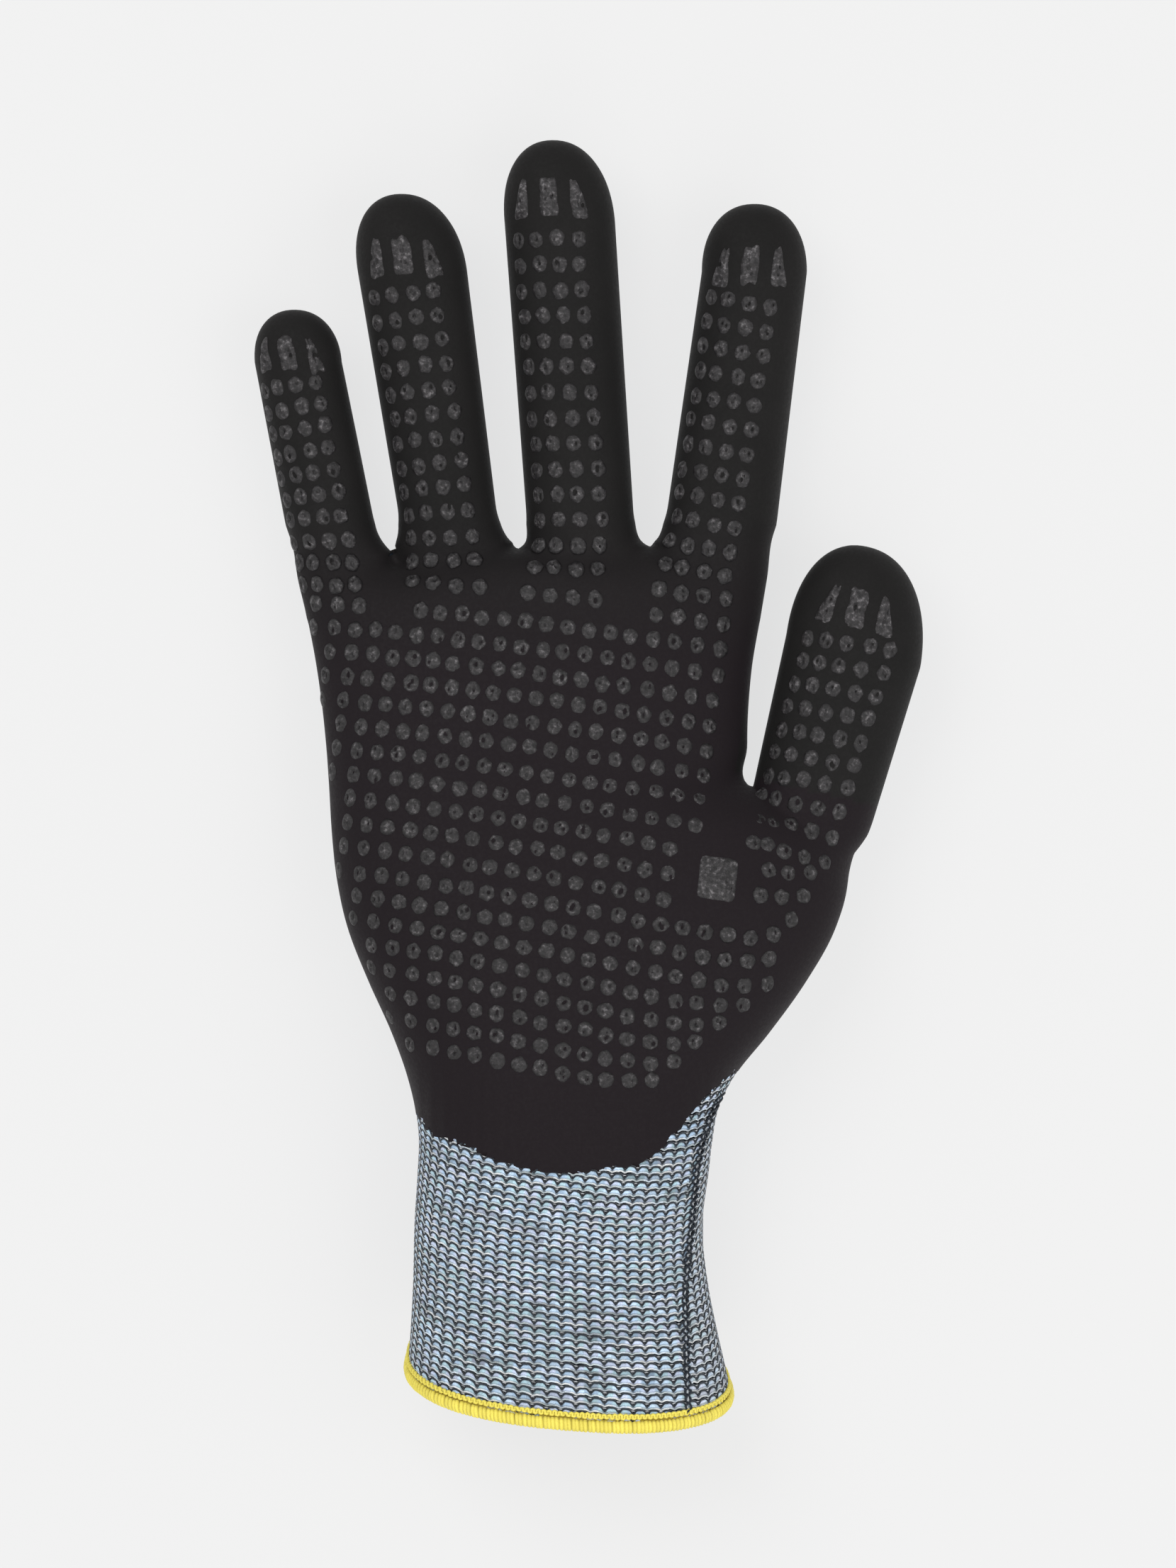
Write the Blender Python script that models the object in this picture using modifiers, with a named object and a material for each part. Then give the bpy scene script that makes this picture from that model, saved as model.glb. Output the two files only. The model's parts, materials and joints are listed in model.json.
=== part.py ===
"""A seamless knitted, palm-dipped cut-resistant glove for the right hand, filled out as if worn.

It lies on its back: fingers along +Y, thumb towards +X, palm up along +Z, the back of the hand
on Z = 0 and the origin under the middle of its outline. The knit bends at a fold of plain tube at
each knuckle, and everything between two folds moves as one piece.
"""
import math
from dataclasses import dataclass

import bmesh
import bpy
from mathutils import Vector

MM = 0.001

# Layers, in millimetres
WALL = 0.9  # knitted liner
GAP = 0.3  # clearance between two pieces that touch
COAT = 0.6  # foam coating over the liner
ELASTIC = 0.4  # elastic yarn layer inside the cuff
HEM_WALL = 0.7  # overlock threads on each side of the cuff's edge
HEM_HEIGHT = 3.7
HEM_CLEAR = 0.8  # between the cuff's cut edge and the bottom of the hem that folds round it
PAD_THICK = 0.7
COATED = COAT + GAP  # how far the coating's outside stands off the liner

# Sections
DIGIT_SIDES = 16
HAND_SIDES = 24
DIGIT_POWER = 2.15  # 2 is an ellipse, more is squarer
HAND_POWER = 2.4
COATED_FROM = -24.0  # degrees below the digit's middle that the coating wraps to, each side
CAP_STEPS = (0.45, 0.75, 0.93)  # rings of a rounded fingertip, as shares of its length
CAP_POWER = 2.2  # how square its outline is
ROOT_TAPER = 0.02  # how fast a stall narrows inside the palm, for each millimetre below its root
HINGE_DEPTH = 3.4  # how far below a stall's palm side its knuckles turn

# Thumb-crotch patch
PAD_CENTRE = (24.1, -17.2)
PAD_SIZE = (7.3, 8.5)
PAD_TURN = -8.0  # degrees
PAD_GRID = 4  # points along each side, which let it follow the palm's curve

# Wrist and cuff
WRIST_HINGE = (-5.0, -64.0, 20.5)
WRIST_FOLD = (-57.0, -72.5)
CUFF_SLOPE = (-0.083, -0.467)  # how far the cuff's edge moves along Y for each unit of X and of Z
CUFF_MIDDLE_Z = 20.5
COATING_LOW_Z = 9.0  # the palm's coating ends this far above the floor
CUTTER_SIZE = (300.0, 300.0, 40.0)  # the block that takes the coating off below it

# Dark yarn down the cuff
YARN_RADIUS = 0.45
YARN_POINTS = 12
YARN_ACROSS = (0.86, 0.72)  # shares of the cuff's half width that it lies at, top and bottom
YARN_TOP = 1.0  # below the wrist's fold
YARN_BOTTOM = 9.0  # below the hem's top in the middle of the cuff, for the edge slants down there

# Outline of the palm's knit: Y, least X, greatest X, least Z, greatest Z
PALM = (
    (46.0, -31.0, 29.0, 8.5, 14.0),
    (44.6, -36.5, 32.2, 5.0, 17.5),
    (42.0, -51.0, 32.8, 1.6, 20.6),
    (36.0, -53.2, 32.2, -0.5, 22.8),
    (22.0, -50.5, 30.2, -1.0, 25.8),
    (8.0, -48.6, 28.4, -1.0, 28.2),
    (0.0, -48.0, 28.8, -1.0, 30.2),
    (-8.0, -47.5, 41.2, -1.0, 32.2),
    (-17.0, -46.5, 48.0, -1.0, 34.2),
    (-26.0, -44.5, 45.5, -1.0, 35.8),
    (-36.0, -40.8, 40.8, -1.0, 37.4),
    (-46.0, -36.2, 33.2, -1.0, 38.4),
    (-54.0, -33.2, 26.8, 0.2, 39.0),
    (-60.0, -31.6, 24.0, 1.6, 39.4),
)

# Outline of the cuff's knit, in the same order
CUFF = (
    (-66.0, -31.2, 22.8, 1.7, 39.8),
    (-72.0, -31.6, 22.1, 1.8, 40.0),
    (-82.0, -32.1, 20.9, 1.8, 40.0),
    (-94.0, -32.4, 22.0, 1.7, 40.2),
    (-103.0, -32.8, 23.8, 1.6, 40.6),
    (-110.9, -33.4, 25.6, 1.5, 41.0),
)


@dataclass
class Digit:
    """A stall, in its own plane frame: v runs along it from its root, s across it, z up."""

    name: str
    root: tuple  # X and Y of the middle of its root
    turn: float  # degrees about +Z that its frame is turned
    lean: float  # sideways shift of its middle for each unit along it
    bend: float  # further sideways shift of its tip
    half_width: tuple  # at the root and where the tip starts to round
    half_depth: tuple
    middle_z: float
    rise: float  # how far the tip stands above the root
    cap: float  # where the tip starts to round
    tip: float
    stub: tuple  # where the palm's own part of the stall starts and ends
    joints: tuple  # (name, place of the hinge) from the root outwards
    fold: float  # length of each fold

    def at(self, s, v, z):
        turn = math.radians(self.turn)
        x = self.root[0] + s * math.cos(turn) - v * math.sin(turn)
        y = self.root[1] + s * math.sin(turn) + v * math.cos(turn)
        return Vector((x, y, z)) * MM

    def middle(self, v):
        """(s, z) of the stall's middle at v."""
        beyond = max(0.0, v - self.cap) / (self.tip - self.cap)
        s = self.lean * min(v, self.cap) + self.bend * beyond
        return s, self.middle_z + self.rise * max(0.0, v / self.tip) ** 2

    def halves(self, v, offset):
        """Half the width and half the depth at v, of a surface that stands off the knit by offset."""
        along = min(max(v / self.cap, 0.0), 1.0)
        beyond = max(0.0, v - self.cap) / (self.tip + offset - self.cap)
        shrink = max(0.0, 1.0 - beyond**CAP_POWER) ** (1 / CAP_POWER)
        shrink *= 1.0 + ROOT_TAPER * min(v, 0.0)
        return tuple(
            (ends[0] + (ends[1] - ends[0]) * along + offset) * shrink
            for ends in (self.half_width, self.half_depth)
        )

    def hinge(self, v):
        """A point on the knuckle's axis, a little below the palm side of the stall."""
        s, z = self.middle(v)
        return self.at(s, v, z + self.halves(v, 0)[1] - HINGE_DEPTH)


FINGERS = (
    Digit("little", (-48.4, 50.0), 0.0, -0.211, -0.7, (8.8, 7.5), (7.5, 6.5), 11.0, 3.0,
          30.5, 39.7, (-14.0, -5.0), (("mcp", 0.0), ("pip", 13.0), ("dip", 25.5)), 9.0),
    Digit("ring", (-25.9, 50.0), 0.0, -0.148, -2.0, (9.6, 9.5), (8.4, 7.6), 11.6, 4.0,
          48.0, 61.5, (-14.0, -2.5), (("mcp", 3.0), ("pip", 23.5), ("dip", 42.2)), 10.5),
    Digit("middle", (-1.4, 50.0), 0.0, -0.069, -1.3, (9.8, 9.7), (8.6, 7.8), 11.8, 4.5,
          57.0, 71.6, (-14.0, -2.5), (("mcp", 3.0), ("pip", 28.5), ("dip", 51.0)), 10.5),
    Digit("index", (24.6, 50.0), 0.0, 0.132, 0.0, (10.1, 9.3), (8.6, 7.8), 11.6, 4.0,
          47.5, 59.6, (-14.0, -2.5), (("mcp", 3.0), ("pip", 23.0), ("dip", 41.5)), 10.5),
)
THUMB = Digit("thumb", (41.8, -6.0), -14.0, 0.0, -3.8, (11.0, 11.8), (9.6, 9.2), 15.0, 2.0,
              36.5, 52.4, (-26.0, 6.0), (("base", 11.3), ("tip", 27.5)), 10.0)
DIGITS = FINGERS + (THUMB,)
SEGMENTS = {3: ("proximal", "middle", "distal"), 2: ("proximal", "distal")}

COLOURS = {
    "knit": ((0.36, 0.42, 0.50), 0.85),
    "coating": ((0.022, 0.017, 0.020), 0.62),
    "fold": ((0.028, 0.023, 0.027), 0.7),
    "hem": ((0.87, 0.71, 0.06), 0.75),
    "elastic": ((0.75, 0.77, 0.78), 0.8),
    "yarn": ((0.01, 0.014, 0.02), 0.85),
    "pad": ((0.05, 0.045, 0.048), 0.5),
}


def clear_scene():
    for obj in list(bpy.data.objects):
        bpy.data.objects.remove(obj, do_unlink=True)


def new_collection(name, hidden=False):
    made = bpy.data.collections.new(name)
    made.hide_render = hidden
    bpy.context.scene.collection.children.link(made)
    return made


def material(kind, name):
    colour, roughness = COLOURS[kind]
    made = bpy.data.materials.new(name)
    made.use_nodes = True
    shader = made.node_tree.nodes["Principled BSDF"]
    shader.inputs["Base Color"].default_value = (*colour, 1.0)
    shader.inputs["Roughness"].default_value = roughness
    shader.inputs["Metallic"].default_value = 0.0
    return made


def signed_power(value, power):
    return math.copysign(abs(value) ** power, value)


def oval(half_width, half_depth, sides, power, arc=None):
    """Points (across, up) of a squared oval, or of the part of it between two angles in degrees."""
    first, last = arc or (0.0, 360.0 - 360.0 / sides)
    count = sides if arc is None else round(sides * (last - first) / 360.0) + 1
    points = []
    for step in range(count):
        angle = math.radians(first + (last - first) * step / (count - 1))
        across = half_width * signed_power(math.cos(angle), 2 / power)
        points.append((across, half_depth * signed_power(math.sin(angle), 2 / power)))
    return points


def digit_ring(digit, v, offset, arc=None):
    s, z = digit.middle(v)
    half_width, half_depth = digit.halves(v, offset)
    outline = oval(half_width, half_depth, DIGIT_SIDES, DIGIT_POWER, arc)
    return [digit.at(s + across, v, z + up) for across, up in outline]


def hand_ring(row, offset, floor=None, tilt=0.0):
    """A section of the palm or cuff, tilted towards the plane of the cuff's edge by a share."""
    y, left, right, low, high = row
    middle_x, middle_z = (left + right) / 2, (low + high) / 2
    halves = ((right - left) / 2 + offset, (high - low) / 2 + offset)
    ring = []
    for across, up in oval(*halves, HAND_SIDES, HAND_POWER):
        x, z = middle_x + across, middle_z + up
        if floor is not None:
            z = max(z, floor)
        slope = CUFF_SLOPE[0] * x + CUFF_SLOPE[1] * (z - CUFF_MIDDLE_Z)
        ring.append(Vector((x, y + tilt * slope, z)) * MM)
    return ring


def row_at(rows, y):
    """The row of an outline at y, between the two rows that hold it or past the last one."""
    pairs = list(zip(rows, rows[1:]))
    upper, lower = next((pair for pair in pairs if pair[1][0] <= y), pairs[-1])
    share = (y - upper[0]) / (lower[0] - upper[0])
    return tuple(a + (b - a) * share for a, b in zip(upper, lower))


def loft(name, rings, closed=True, ends=(None, None), capped=False):
    """A surface through the rings. An end may narrow to a point, and capped closes flat ends."""
    mesh = bmesh.new()
    made = [[mesh.verts.new(point) for point in ring] for ring in rings]
    for one, two in zip(made, made[1:]):
        for step in range(len(one) if closed else len(one) - 1):
            after = (step + 1) % len(one)
            mesh.faces.new((one[step], one[after], two[after], two[step]))
    for ring, point in ((made[0], ends[0]), (made[-1], ends[1])):
        if point is not None:
            pole = mesh.verts.new(point)
            for step in range(len(ring) if closed else len(ring) - 1):
                mesh.faces.new((ring[step], ring[(step + 1) % len(ring)], pole))
        elif capped:
            mesh.faces.new(ring)
    bmesh.ops.recalc_face_normals(mesh, faces=mesh.faces)
    data = bpy.data.meshes.new(name)
    mesh.to_mesh(data)
    mesh.free()
    return bpy.data.objects.new(name, data)


def face_outward(obj, centre):
    """Turns an open surface's faces so that they look away from a point inside it."""
    faces = obj.data.polygons
    if sum((face.center - centre).dot(face.normal) for face in faces) < 0:
        obj.data.flip_normals()


def solidify(obj, thickness, outward):
    made = obj.modifiers.new("Thickness", "SOLIDIFY")
    made.thickness = thickness * MM
    made.offset = 1.0 if outward else -1.0
    made.use_even_offset = True
    return obj


def boolean(obj, other, operation):
    made = obj.modifiers.new(f"{operation.title()} {other.name}", "BOOLEAN")
    made.operation = operation
    made.solver = "EXACT"
    made.object = other


def finish(obj, collection, kind, joint=None):
    """Gives a part its material and shading, and hangs it on its joint's empty."""
    obj.data.materials.append(material(kind, f"{obj.name}_{kind}"))
    obj.data.shade_smooth()
    obj.data.set_sharp_from_angle(angle=math.radians(35))
    collection.objects.link(obj)
    if joint is not None:
        for vertex in obj.data.vertices:
            vertex.co -= world_place(joint)
        obj.parent = joint


def world_place(empty):
    place = Vector(empty.location)
    while empty.parent is not None:
        empty = empty.parent
        place += empty.location
    return place


def joint_empty(name, place, parent, collection):
    made = bpy.data.objects.new(name, None)
    made.empty_display_size = 5 * MM
    made.parent = parent
    made.location = place - (world_place(parent) if parent else Vector())
    collection.objects.link(made)
    return made


def stations(digit, start, end):
    """Where a stretch of a stall has rings: its ends, and the rounding of its tip."""
    if end < digit.tip:
        return [start, end]
    length = digit.tip - digit.cap
    return [start, digit.cap] + [digit.cap + length * share for share in CAP_STEPS]


def stall_skin(name, digit, start, end, offset, arc=None):
    """The surface of a stretch of a stall. One that reaches the tip is closed there."""
    rings = [digit_ring(digit, v, offset, arc) for v in stations(digit, start, end)]
    tip = None
    if end >= digit.tip:
        s, z = digit.middle(digit.tip)
        tip = digit.at(s, digit.tip + offset, z)
    made = loft(name, rings, closed=arc is None, ends=(None, tip))
    inside = (start + min(end, digit.cap)) / 2
    s, z = digit.middle(inside)
    face_outward(made, digit.at(s, inside, z))
    return made


def build_stall(digit, palm, parts):
    """The liner, coating and fold of each stretch of a stall, from the palm outwards."""
    names = SEGMENTS[len(digit.joints)]
    arc = (COATED_FROM, 180.0 - COATED_FROM)
    joint = palm
    for index, (label, place) in enumerate(digit.joints):
        fold_start, fold_end = place - digit.fold / 2, place + digit.fold / 2
        name = f"{digit.name}_{label}_fold"
        fold = stall_skin(name, digit, fold_start + GAP, fold_end - GAP, -WALL)
        finish(solidify(fold, WALL + COATED, outward=True), parts, "fold", joint)
        joint = joint_empty(f"{digit.name}_{label}", digit.hinge(place), joint, parts)
        last = index == len(digit.joints) - 1
        end = digit.tip if last else digit.joints[index + 1][1] - digit.fold / 2
        name = f"{digit.name}_{names[index]}"
        liner = stall_skin(f"{name}_liner", digit, fold_end, end, 0.0)
        finish(solidify(liner, WALL, outward=False), parts, "knit", joint)
        coat = stall_skin(f"{name}_coating", digit, fold_end, end, GAP, arc)
        finish(solidify(coat, COAT, outward=True), parts, "coating", joint)


def hand_form(name, offset, beyond, cutters, floor):
    """A closed solid of the palm with the roots of its stalls, standing off the knit by offset.

    beyond is how far its open ends run past the palm's own.
    """
    rows = [row for row in PALM if row[0] > WRIST_FOLD[0]]
    rows.append(row_at(PALM, WRIST_FOLD[0] - beyond))
    rings = [hand_ring(row, offset, floor) for row in rows]
    palm = loft(name, rings, capped=True)
    for digit in DIGITS:
        start, end = digit.stub
        steps = (start - offset, (start + end) / 2, end + beyond)
        stub = [digit_ring(digit, v, offset) for v in steps]
        root = loft(f"{name}_{digit.name}", stub, capped=True)
        as_cutter(root, cutters)
        boolean(palm, root, "UNION")
    return palm


def as_cutter(obj, cutters):
    obj.display_type = "WIRE"
    obj.hide_render = True
    cutters.objects.link(obj)


def build_palm(parts, cutters, palm):
    liner = hand_form("palm_liner", 0.0, 0.0, cutters, floor=0.0)
    hollow = hand_form("palm_hollow", -WALL, 2.0, cutters, floor=WALL)
    as_cutter(hollow, cutters)
    boolean(liner, hollow, "DIFFERENCE")
    finish(liner, parts, "knit", palm)

    coating = hand_form("palm_coating", COATED, 0.0, cutters, floor=0.0)
    inside = hand_form("palm_coating_inside", GAP, 2.0, cutters, floor=0.0)
    as_cutter(inside, cutters)
    boolean(coating, inside, "DIFFERENCE")
    size = Vector(CUTTER_SIZE) * MM
    middle = COATING_LOW_Z * MM - size.z / 2
    bpy.ops.mesh.primitive_cube_add(size=1.0, location=(0.0, 0.0, middle))
    below = bpy.context.object
    below.name = "below_coating"
    below.scale = size
    below.users_collection[0].objects.unlink(below)
    as_cutter(below, cutters)
    boolean(coating, below, "DIFFERENCE")
    finish(coating, parts, "coating", palm)


def palm_top(x, y, offset):
    """Height of the palm's upper surface, standing off the knit by offset."""
    _, left, right, low, high = row_at(PALM, y)
    half_width, half_depth = (right - left) / 2 + offset, (high - low) / 2 + offset
    across = abs(x - (left + right) / 2) / half_width
    return (low + high) / 2 + half_depth * (1 - across**HAND_POWER) ** (1 / HAND_POWER)


def build_pad(parts, palm):
    """The square reinforcing patch at the root of the thumb, which follows the palm's curve."""
    turn = math.radians(PAD_TURN)
    rings = []
    shares = [step / (PAD_GRID - 1) - 0.5 for step in range(PAD_GRID)]
    for row in shares:
        along = row * PAD_SIZE[1]
        ring = []
        for column in shares:
            across = column * PAD_SIZE[0]
            x = PAD_CENTRE[0] + across * math.cos(turn) - along * math.sin(turn)
            y = PAD_CENTRE[1] + across * math.sin(turn) + along * math.cos(turn)
            ring.append(Vector((x, y, palm_top(x, y, COATED) + 2 * GAP)) * MM)
        rings.append(ring)
    pad = loft("thumb_crotch_pad", rings, closed=False)
    face_outward(pad, Vector((PAD_CENTRE[0] * MM, PAD_CENTRE[1] * MM, 0.0)))
    finish(solidify(pad, PAD_THICK, outward=True), parts, "pad", palm)


def cuff_rings(offset):
    """Sections of the cuff from the wrist's fold down to its slanting edge."""
    start = WRIST_FOLD[1]
    rows = [row_at(CUFF, start)] + [row for row in CUFF if row[0] < start - 1.0]
    span = start - rows[-1][0]
    return [hand_ring(row, offset, tilt=((start - row[0]) / span) ** 1.5) for row in rows]


def edge_ring(offset, above):
    """A ring that far above the cuff's slanting edge, on the straight stretch that ends there."""
    before, last = cuff_rings(offset)[-2:]
    share = above / (CUFF[-2][0] - CUFF[-1][0])
    return [low.lerp(high, share) for low, high in zip(last, before)]


def build_cuff(parts, palm):
    centre = Vector((WRIST_HINGE[0], -90.0, CUFF_MIDDLE_Z)) * MM
    rows = (WRIST_FOLD[0] - GAP, (WRIST_FOLD[0] + WRIST_FOLD[1]) / 2, WRIST_FOLD[1] + GAP)
    rings = [hand_ring(row_at(PALM + CUFF, y), -WALL) for y in rows]
    fold = loft("wrist_fold", rings)
    face_outward(fold, Vector(WRIST_HINGE) * MM)
    finish(solidify(fold, WALL + COATED, outward=True), parts, "fold", palm)

    joint = joint_empty("wrist", Vector(WRIST_HINGE) * MM, palm, parts)
    knit = loft("cuff_knit", cuff_rings(0.0))
    face_outward(knit, centre)
    finish(solidify(knit, WALL, outward=False), parts, "knit", joint)

    inside = -WALL - GAP
    shortened = cuff_rings(inside)[:-1] + [edge_ring(inside, HEM_HEIGHT + 2 * GAP)]
    elastic = loft("cuff_elastic_layer", shortened)
    face_outward(elastic, centre)
    finish(solidify(elastic, ELASTIC, outward=False), parts, "elastic", joint)

    rings = [edge_ring(GAP, HEM_HEIGHT), edge_ring(GAP, -HEM_CLEAR)]
    rings += [edge_ring(inside, -HEM_CLEAR), edge_ring(inside, HEM_HEIGHT)]
    hem = loft("overlock_hem", rings)
    if hem.data.polygons[0].normal.dot(hem.data.polygons[0].center - centre) < 0:
        hem.data.flip_normals()
    finish(solidify(hem, HEM_WALL, outward=True), parts, "hem", joint)
    build_yarn(parts, joint)


def build_yarn(parts, joint):
    """The dark yarn that runs down the thumb side of the cuff, where the knit starts and ends."""
    offset = GAP + YARN_RADIUS
    top = WRIST_FOLD[1] - YARN_TOP
    bottom = CUFF[-1][0] + HEM_HEIGHT - YARN_BOTTOM
    curve = bpy.data.curves.new("cuff_yarn_line", "CURVE")
    curve.dimensions = "3D"
    curve.bevel_depth = YARN_RADIUS * MM
    curve.bevel_resolution = 1
    curve.use_fill_caps = True
    spline = curve.splines.new("POLY")
    spline.points.add(YARN_POINTS - 1)
    for step, point in enumerate(spline.points):
        share = step / (YARN_POINTS - 1)
        y = top + (bottom - top) * share
        _, left, right, low, high = row_at(CUFF, y)
        half_width, half_depth = (right - left) / 2 + offset, (high - low) / 2 + offset
        across = half_width * (YARN_ACROSS[0] + (YARN_ACROSS[1] - YARN_ACROSS[0]) * share)
        rise = (1 - (across / half_width) ** HAND_POWER) ** (1 / HAND_POWER)
        z = (low + high) / 2 + half_depth * rise + 2 * GAP
        point.co = (*Vector(((left + right) / 2 + across, y, z)) * MM, 1.0)
    guide = bpy.data.objects.new("yarn_guide", curve)
    bpy.context.scene.collection.objects.link(guide)
    graph = bpy.context.evaluated_depsgraph_get()
    data = bpy.data.meshes.new_from_object(guide.evaluated_get(graph))
    data.name = "cuff_yarn_line"
    bpy.data.objects.remove(guide)
    welded = bmesh.new()
    welded.from_mesh(data)
    bmesh.ops.remove_doubles(welded, verts=welded.verts, dist=0.00001)
    welded.to_mesh(data)
    welded.free()
    finish(bpy.data.objects.new("cuff_yarn_line", data), parts, "yarn", joint)


def main():
    clear_scene()
    parts = new_collection("cut_resistant_glove")
    cutters = new_collection("glove_cutters", hidden=True)
    palm = joint_empty("palm", Vector((0.0, 0.0, 0.0)), None, parts)
    build_palm(parts, cutters, palm)
    build_pad(parts, palm)
    build_cuff(parts, palm)
    for digit in DIGITS:
        build_stall(digit, palm, parts)


main()
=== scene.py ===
"""Looks of a knitted, palm-dipped cut resistant glove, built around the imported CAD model.

The whole glove is one smooth shape, given as a signed distance to its knit: five stalls and a
hand-and-cuff tube, blended together. The coating, grip dots and yarns are all laid at a height over it.
Lengths are millimetres until a mesh is made.
"""

import json
import math
from dataclasses import dataclass

import bpy
import numpy as np
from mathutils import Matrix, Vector


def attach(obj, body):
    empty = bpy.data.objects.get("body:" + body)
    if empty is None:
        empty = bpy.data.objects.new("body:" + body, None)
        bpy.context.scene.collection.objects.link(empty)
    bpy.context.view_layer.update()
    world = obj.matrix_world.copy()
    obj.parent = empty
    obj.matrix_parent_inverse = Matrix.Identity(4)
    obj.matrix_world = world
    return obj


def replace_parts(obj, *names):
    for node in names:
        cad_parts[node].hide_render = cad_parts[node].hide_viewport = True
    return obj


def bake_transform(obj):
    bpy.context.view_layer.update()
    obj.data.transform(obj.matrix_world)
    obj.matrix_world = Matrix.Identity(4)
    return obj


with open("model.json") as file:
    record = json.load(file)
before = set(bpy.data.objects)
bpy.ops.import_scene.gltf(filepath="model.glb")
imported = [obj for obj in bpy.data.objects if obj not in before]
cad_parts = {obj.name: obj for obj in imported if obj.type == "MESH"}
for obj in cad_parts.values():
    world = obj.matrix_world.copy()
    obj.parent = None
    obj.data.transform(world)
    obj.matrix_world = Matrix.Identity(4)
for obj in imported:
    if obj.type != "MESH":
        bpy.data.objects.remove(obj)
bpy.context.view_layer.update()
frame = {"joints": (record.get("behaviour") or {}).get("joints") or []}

MM = 0.001
random = np.random.default_rng(7)

# ---------------------------------------------------------------- sizes

VOXEL = 0.9  # spacing of the coating's mesh
STALL_BLEND = 3.0  # how widely a stall's root runs into the palm
STALL_JOIN = 0.8  # the same for one stall into the next
WEB_ROUND = 9.0  # rounding of the palm's edge between two stalls
FLARE_LENGTH = 8.0  # of a stall's root, where it widens into a web
ROOT_LENGTH = 14.0  # over which the rows of dots of a stall between two webs flatten into the palm's
FLOOR_ROUND = 3.0  # rounding around the flat of the back of the hand
SECTION_POWER = 2.2  # how square a stall's section is
HAND_POWER = 2.4

HULL_SIDES = 40  # of the rough tubes that the mesh starts from
HULL_RINGS = 40  # in a stall's tube
HULL_SPAN = (-130.0, 45.0, 90)  # Y of the hand's first and last ring, and how many it has
SKIN_EDGE = 0.4  # how far above the cuff's edge the ground ends

MOST_FACES = 95000  # triangles in one piece of knit
COAT_HEIGHT = 0.75  # outside of the coating, over the middle of the knit's thickness
COAT_THICK = 0.4
COAT_SOAK = 0.9  # distance over which the coating sinks into the knit at its edge
COAT_SINK = 0.5  # how deep its edge ends
BASE_DEPTH = 0.32  # the dark inner face of the knit, under the middle of its thickness
BASE_THICK = 0.15

WALE = 2.45  # width of a knitted loop
COURSE = 1.40  # height of a course
LOOP_NARROWING = 3.4  # how much narrower a loop's foot is than its head
CUFF_WALES = 62
PALM_WALES = 76
KNIT_TOP = 46.0  # Y of the hand's first course
KNIT_CHANGE = -56.0  # the cuff is knitted over fewer needles from here down
# Where the coating ends over the wrist: X, Y
WRIST_EDGE = np.array((
    (-60.0, -50.0), (-32.6, -60.3), (-30.6, -63.3), (-24.7, -66.2), (-16.8, -70.0), (-3.5, -72.2),
    (4.0, -71.3), (12.5, -68.5), (15.8, -65.1), (20.2, -59.7), (23.8, -55.8), (28.4, -53.2), (60.0, -47.0),
))

# How high the coating's edge lies along the hand's sides: Y, Z
SIDE_EDGE = np.array(((-75.0, 24.0), (-60.0, 20.0), (-44.0, 12.0), (-20.0, 8.5), (47.0, 6.5)))

KNIT_EDGE = 1.2  # how far above the cuff's edge the yarns end
KNIT_UNDER = 0.9  # how far the knit reaches in under the coating
COURSE_SLOPE = (-0.165, -0.37)  # how the cuff's courses move along Y for each unit of X and Z
WALE_DRIFT = 0.07  # sideways, for each unit down the cuff

DOT_SIZE = (1.56, 1.72)  # half of its width and length
HEEL_DOT_SIZE = (1.62, 1.6)  # the same towards the wrist
DOT_HEIGHT = 0.42
DOT_CLEAR = 3.3  # a stall's dots stay this far from the palm's
DOT_INSET = 2.4  # and all dots this far inside the coating's edge
DOT_TURN = -7.0  # degrees, on the palm
# The palm's grid of dots, rows counted towards the fingers and columns towards the thumb
GRID_ORIGIN = (-8.3, -2.5)
GRID_COLUMN = (4.0, -0.64)
GRID_ROW = (0.62, 4.65)
GRID_BOW = (0.009, -0.009)  # for each column squared
GRID_FAN = 0.0176  # how rows spread apart towards the thumb
GRID_HEEL = (0.067, 0.29)  # below rows -5 and -4: sideways for each row squared, and up for each row
GRID_END = (2.5, 1.4)  # below row -3, how far the last dot is lifted, and how fast that fades along the row
GRID_BARE = {7: (-9, -8)}  # columns that a row lacks, between the stalls
GRID_STARTS = {8: 4, 9: 4}  # the column that a row starts from, if it isn't the first
GRID_ROWS = (-11, 9)
GRID_COLUMNS = (-13, 11)
# Rows of dots at the thumb's root: below where along it, from which column, and their step sideways
THUMB_HEEL = ((-18.0, 2, 1.0), (-8.0, 1, 2.0))
HEEL_TILT = 0.8
BAR_SIZE = (3.8, 7.5)
BAR_SPACING = 6.2
PAD_CENTRE = (24.1, -17.2)
PAD_SIZE = (7.3, 8.5)
PAD_TURN = -8.0

# The overlock's lower band, from its outer top round the edge to its inner top:
# how far above the cuff's edge, and height over the knit
HEM_WRAP = (
    (0.85, 0.62), (0.5, 0.92), (0.0, 1.02), (-0.5, 0.8), (-0.8, 0.35), (-0.8, -0.35), (-0.5, -0.8),
    (0.0, -1.0), (0.8, -0.95), (1.6, -0.88), (2.2, -0.78),
)
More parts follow.
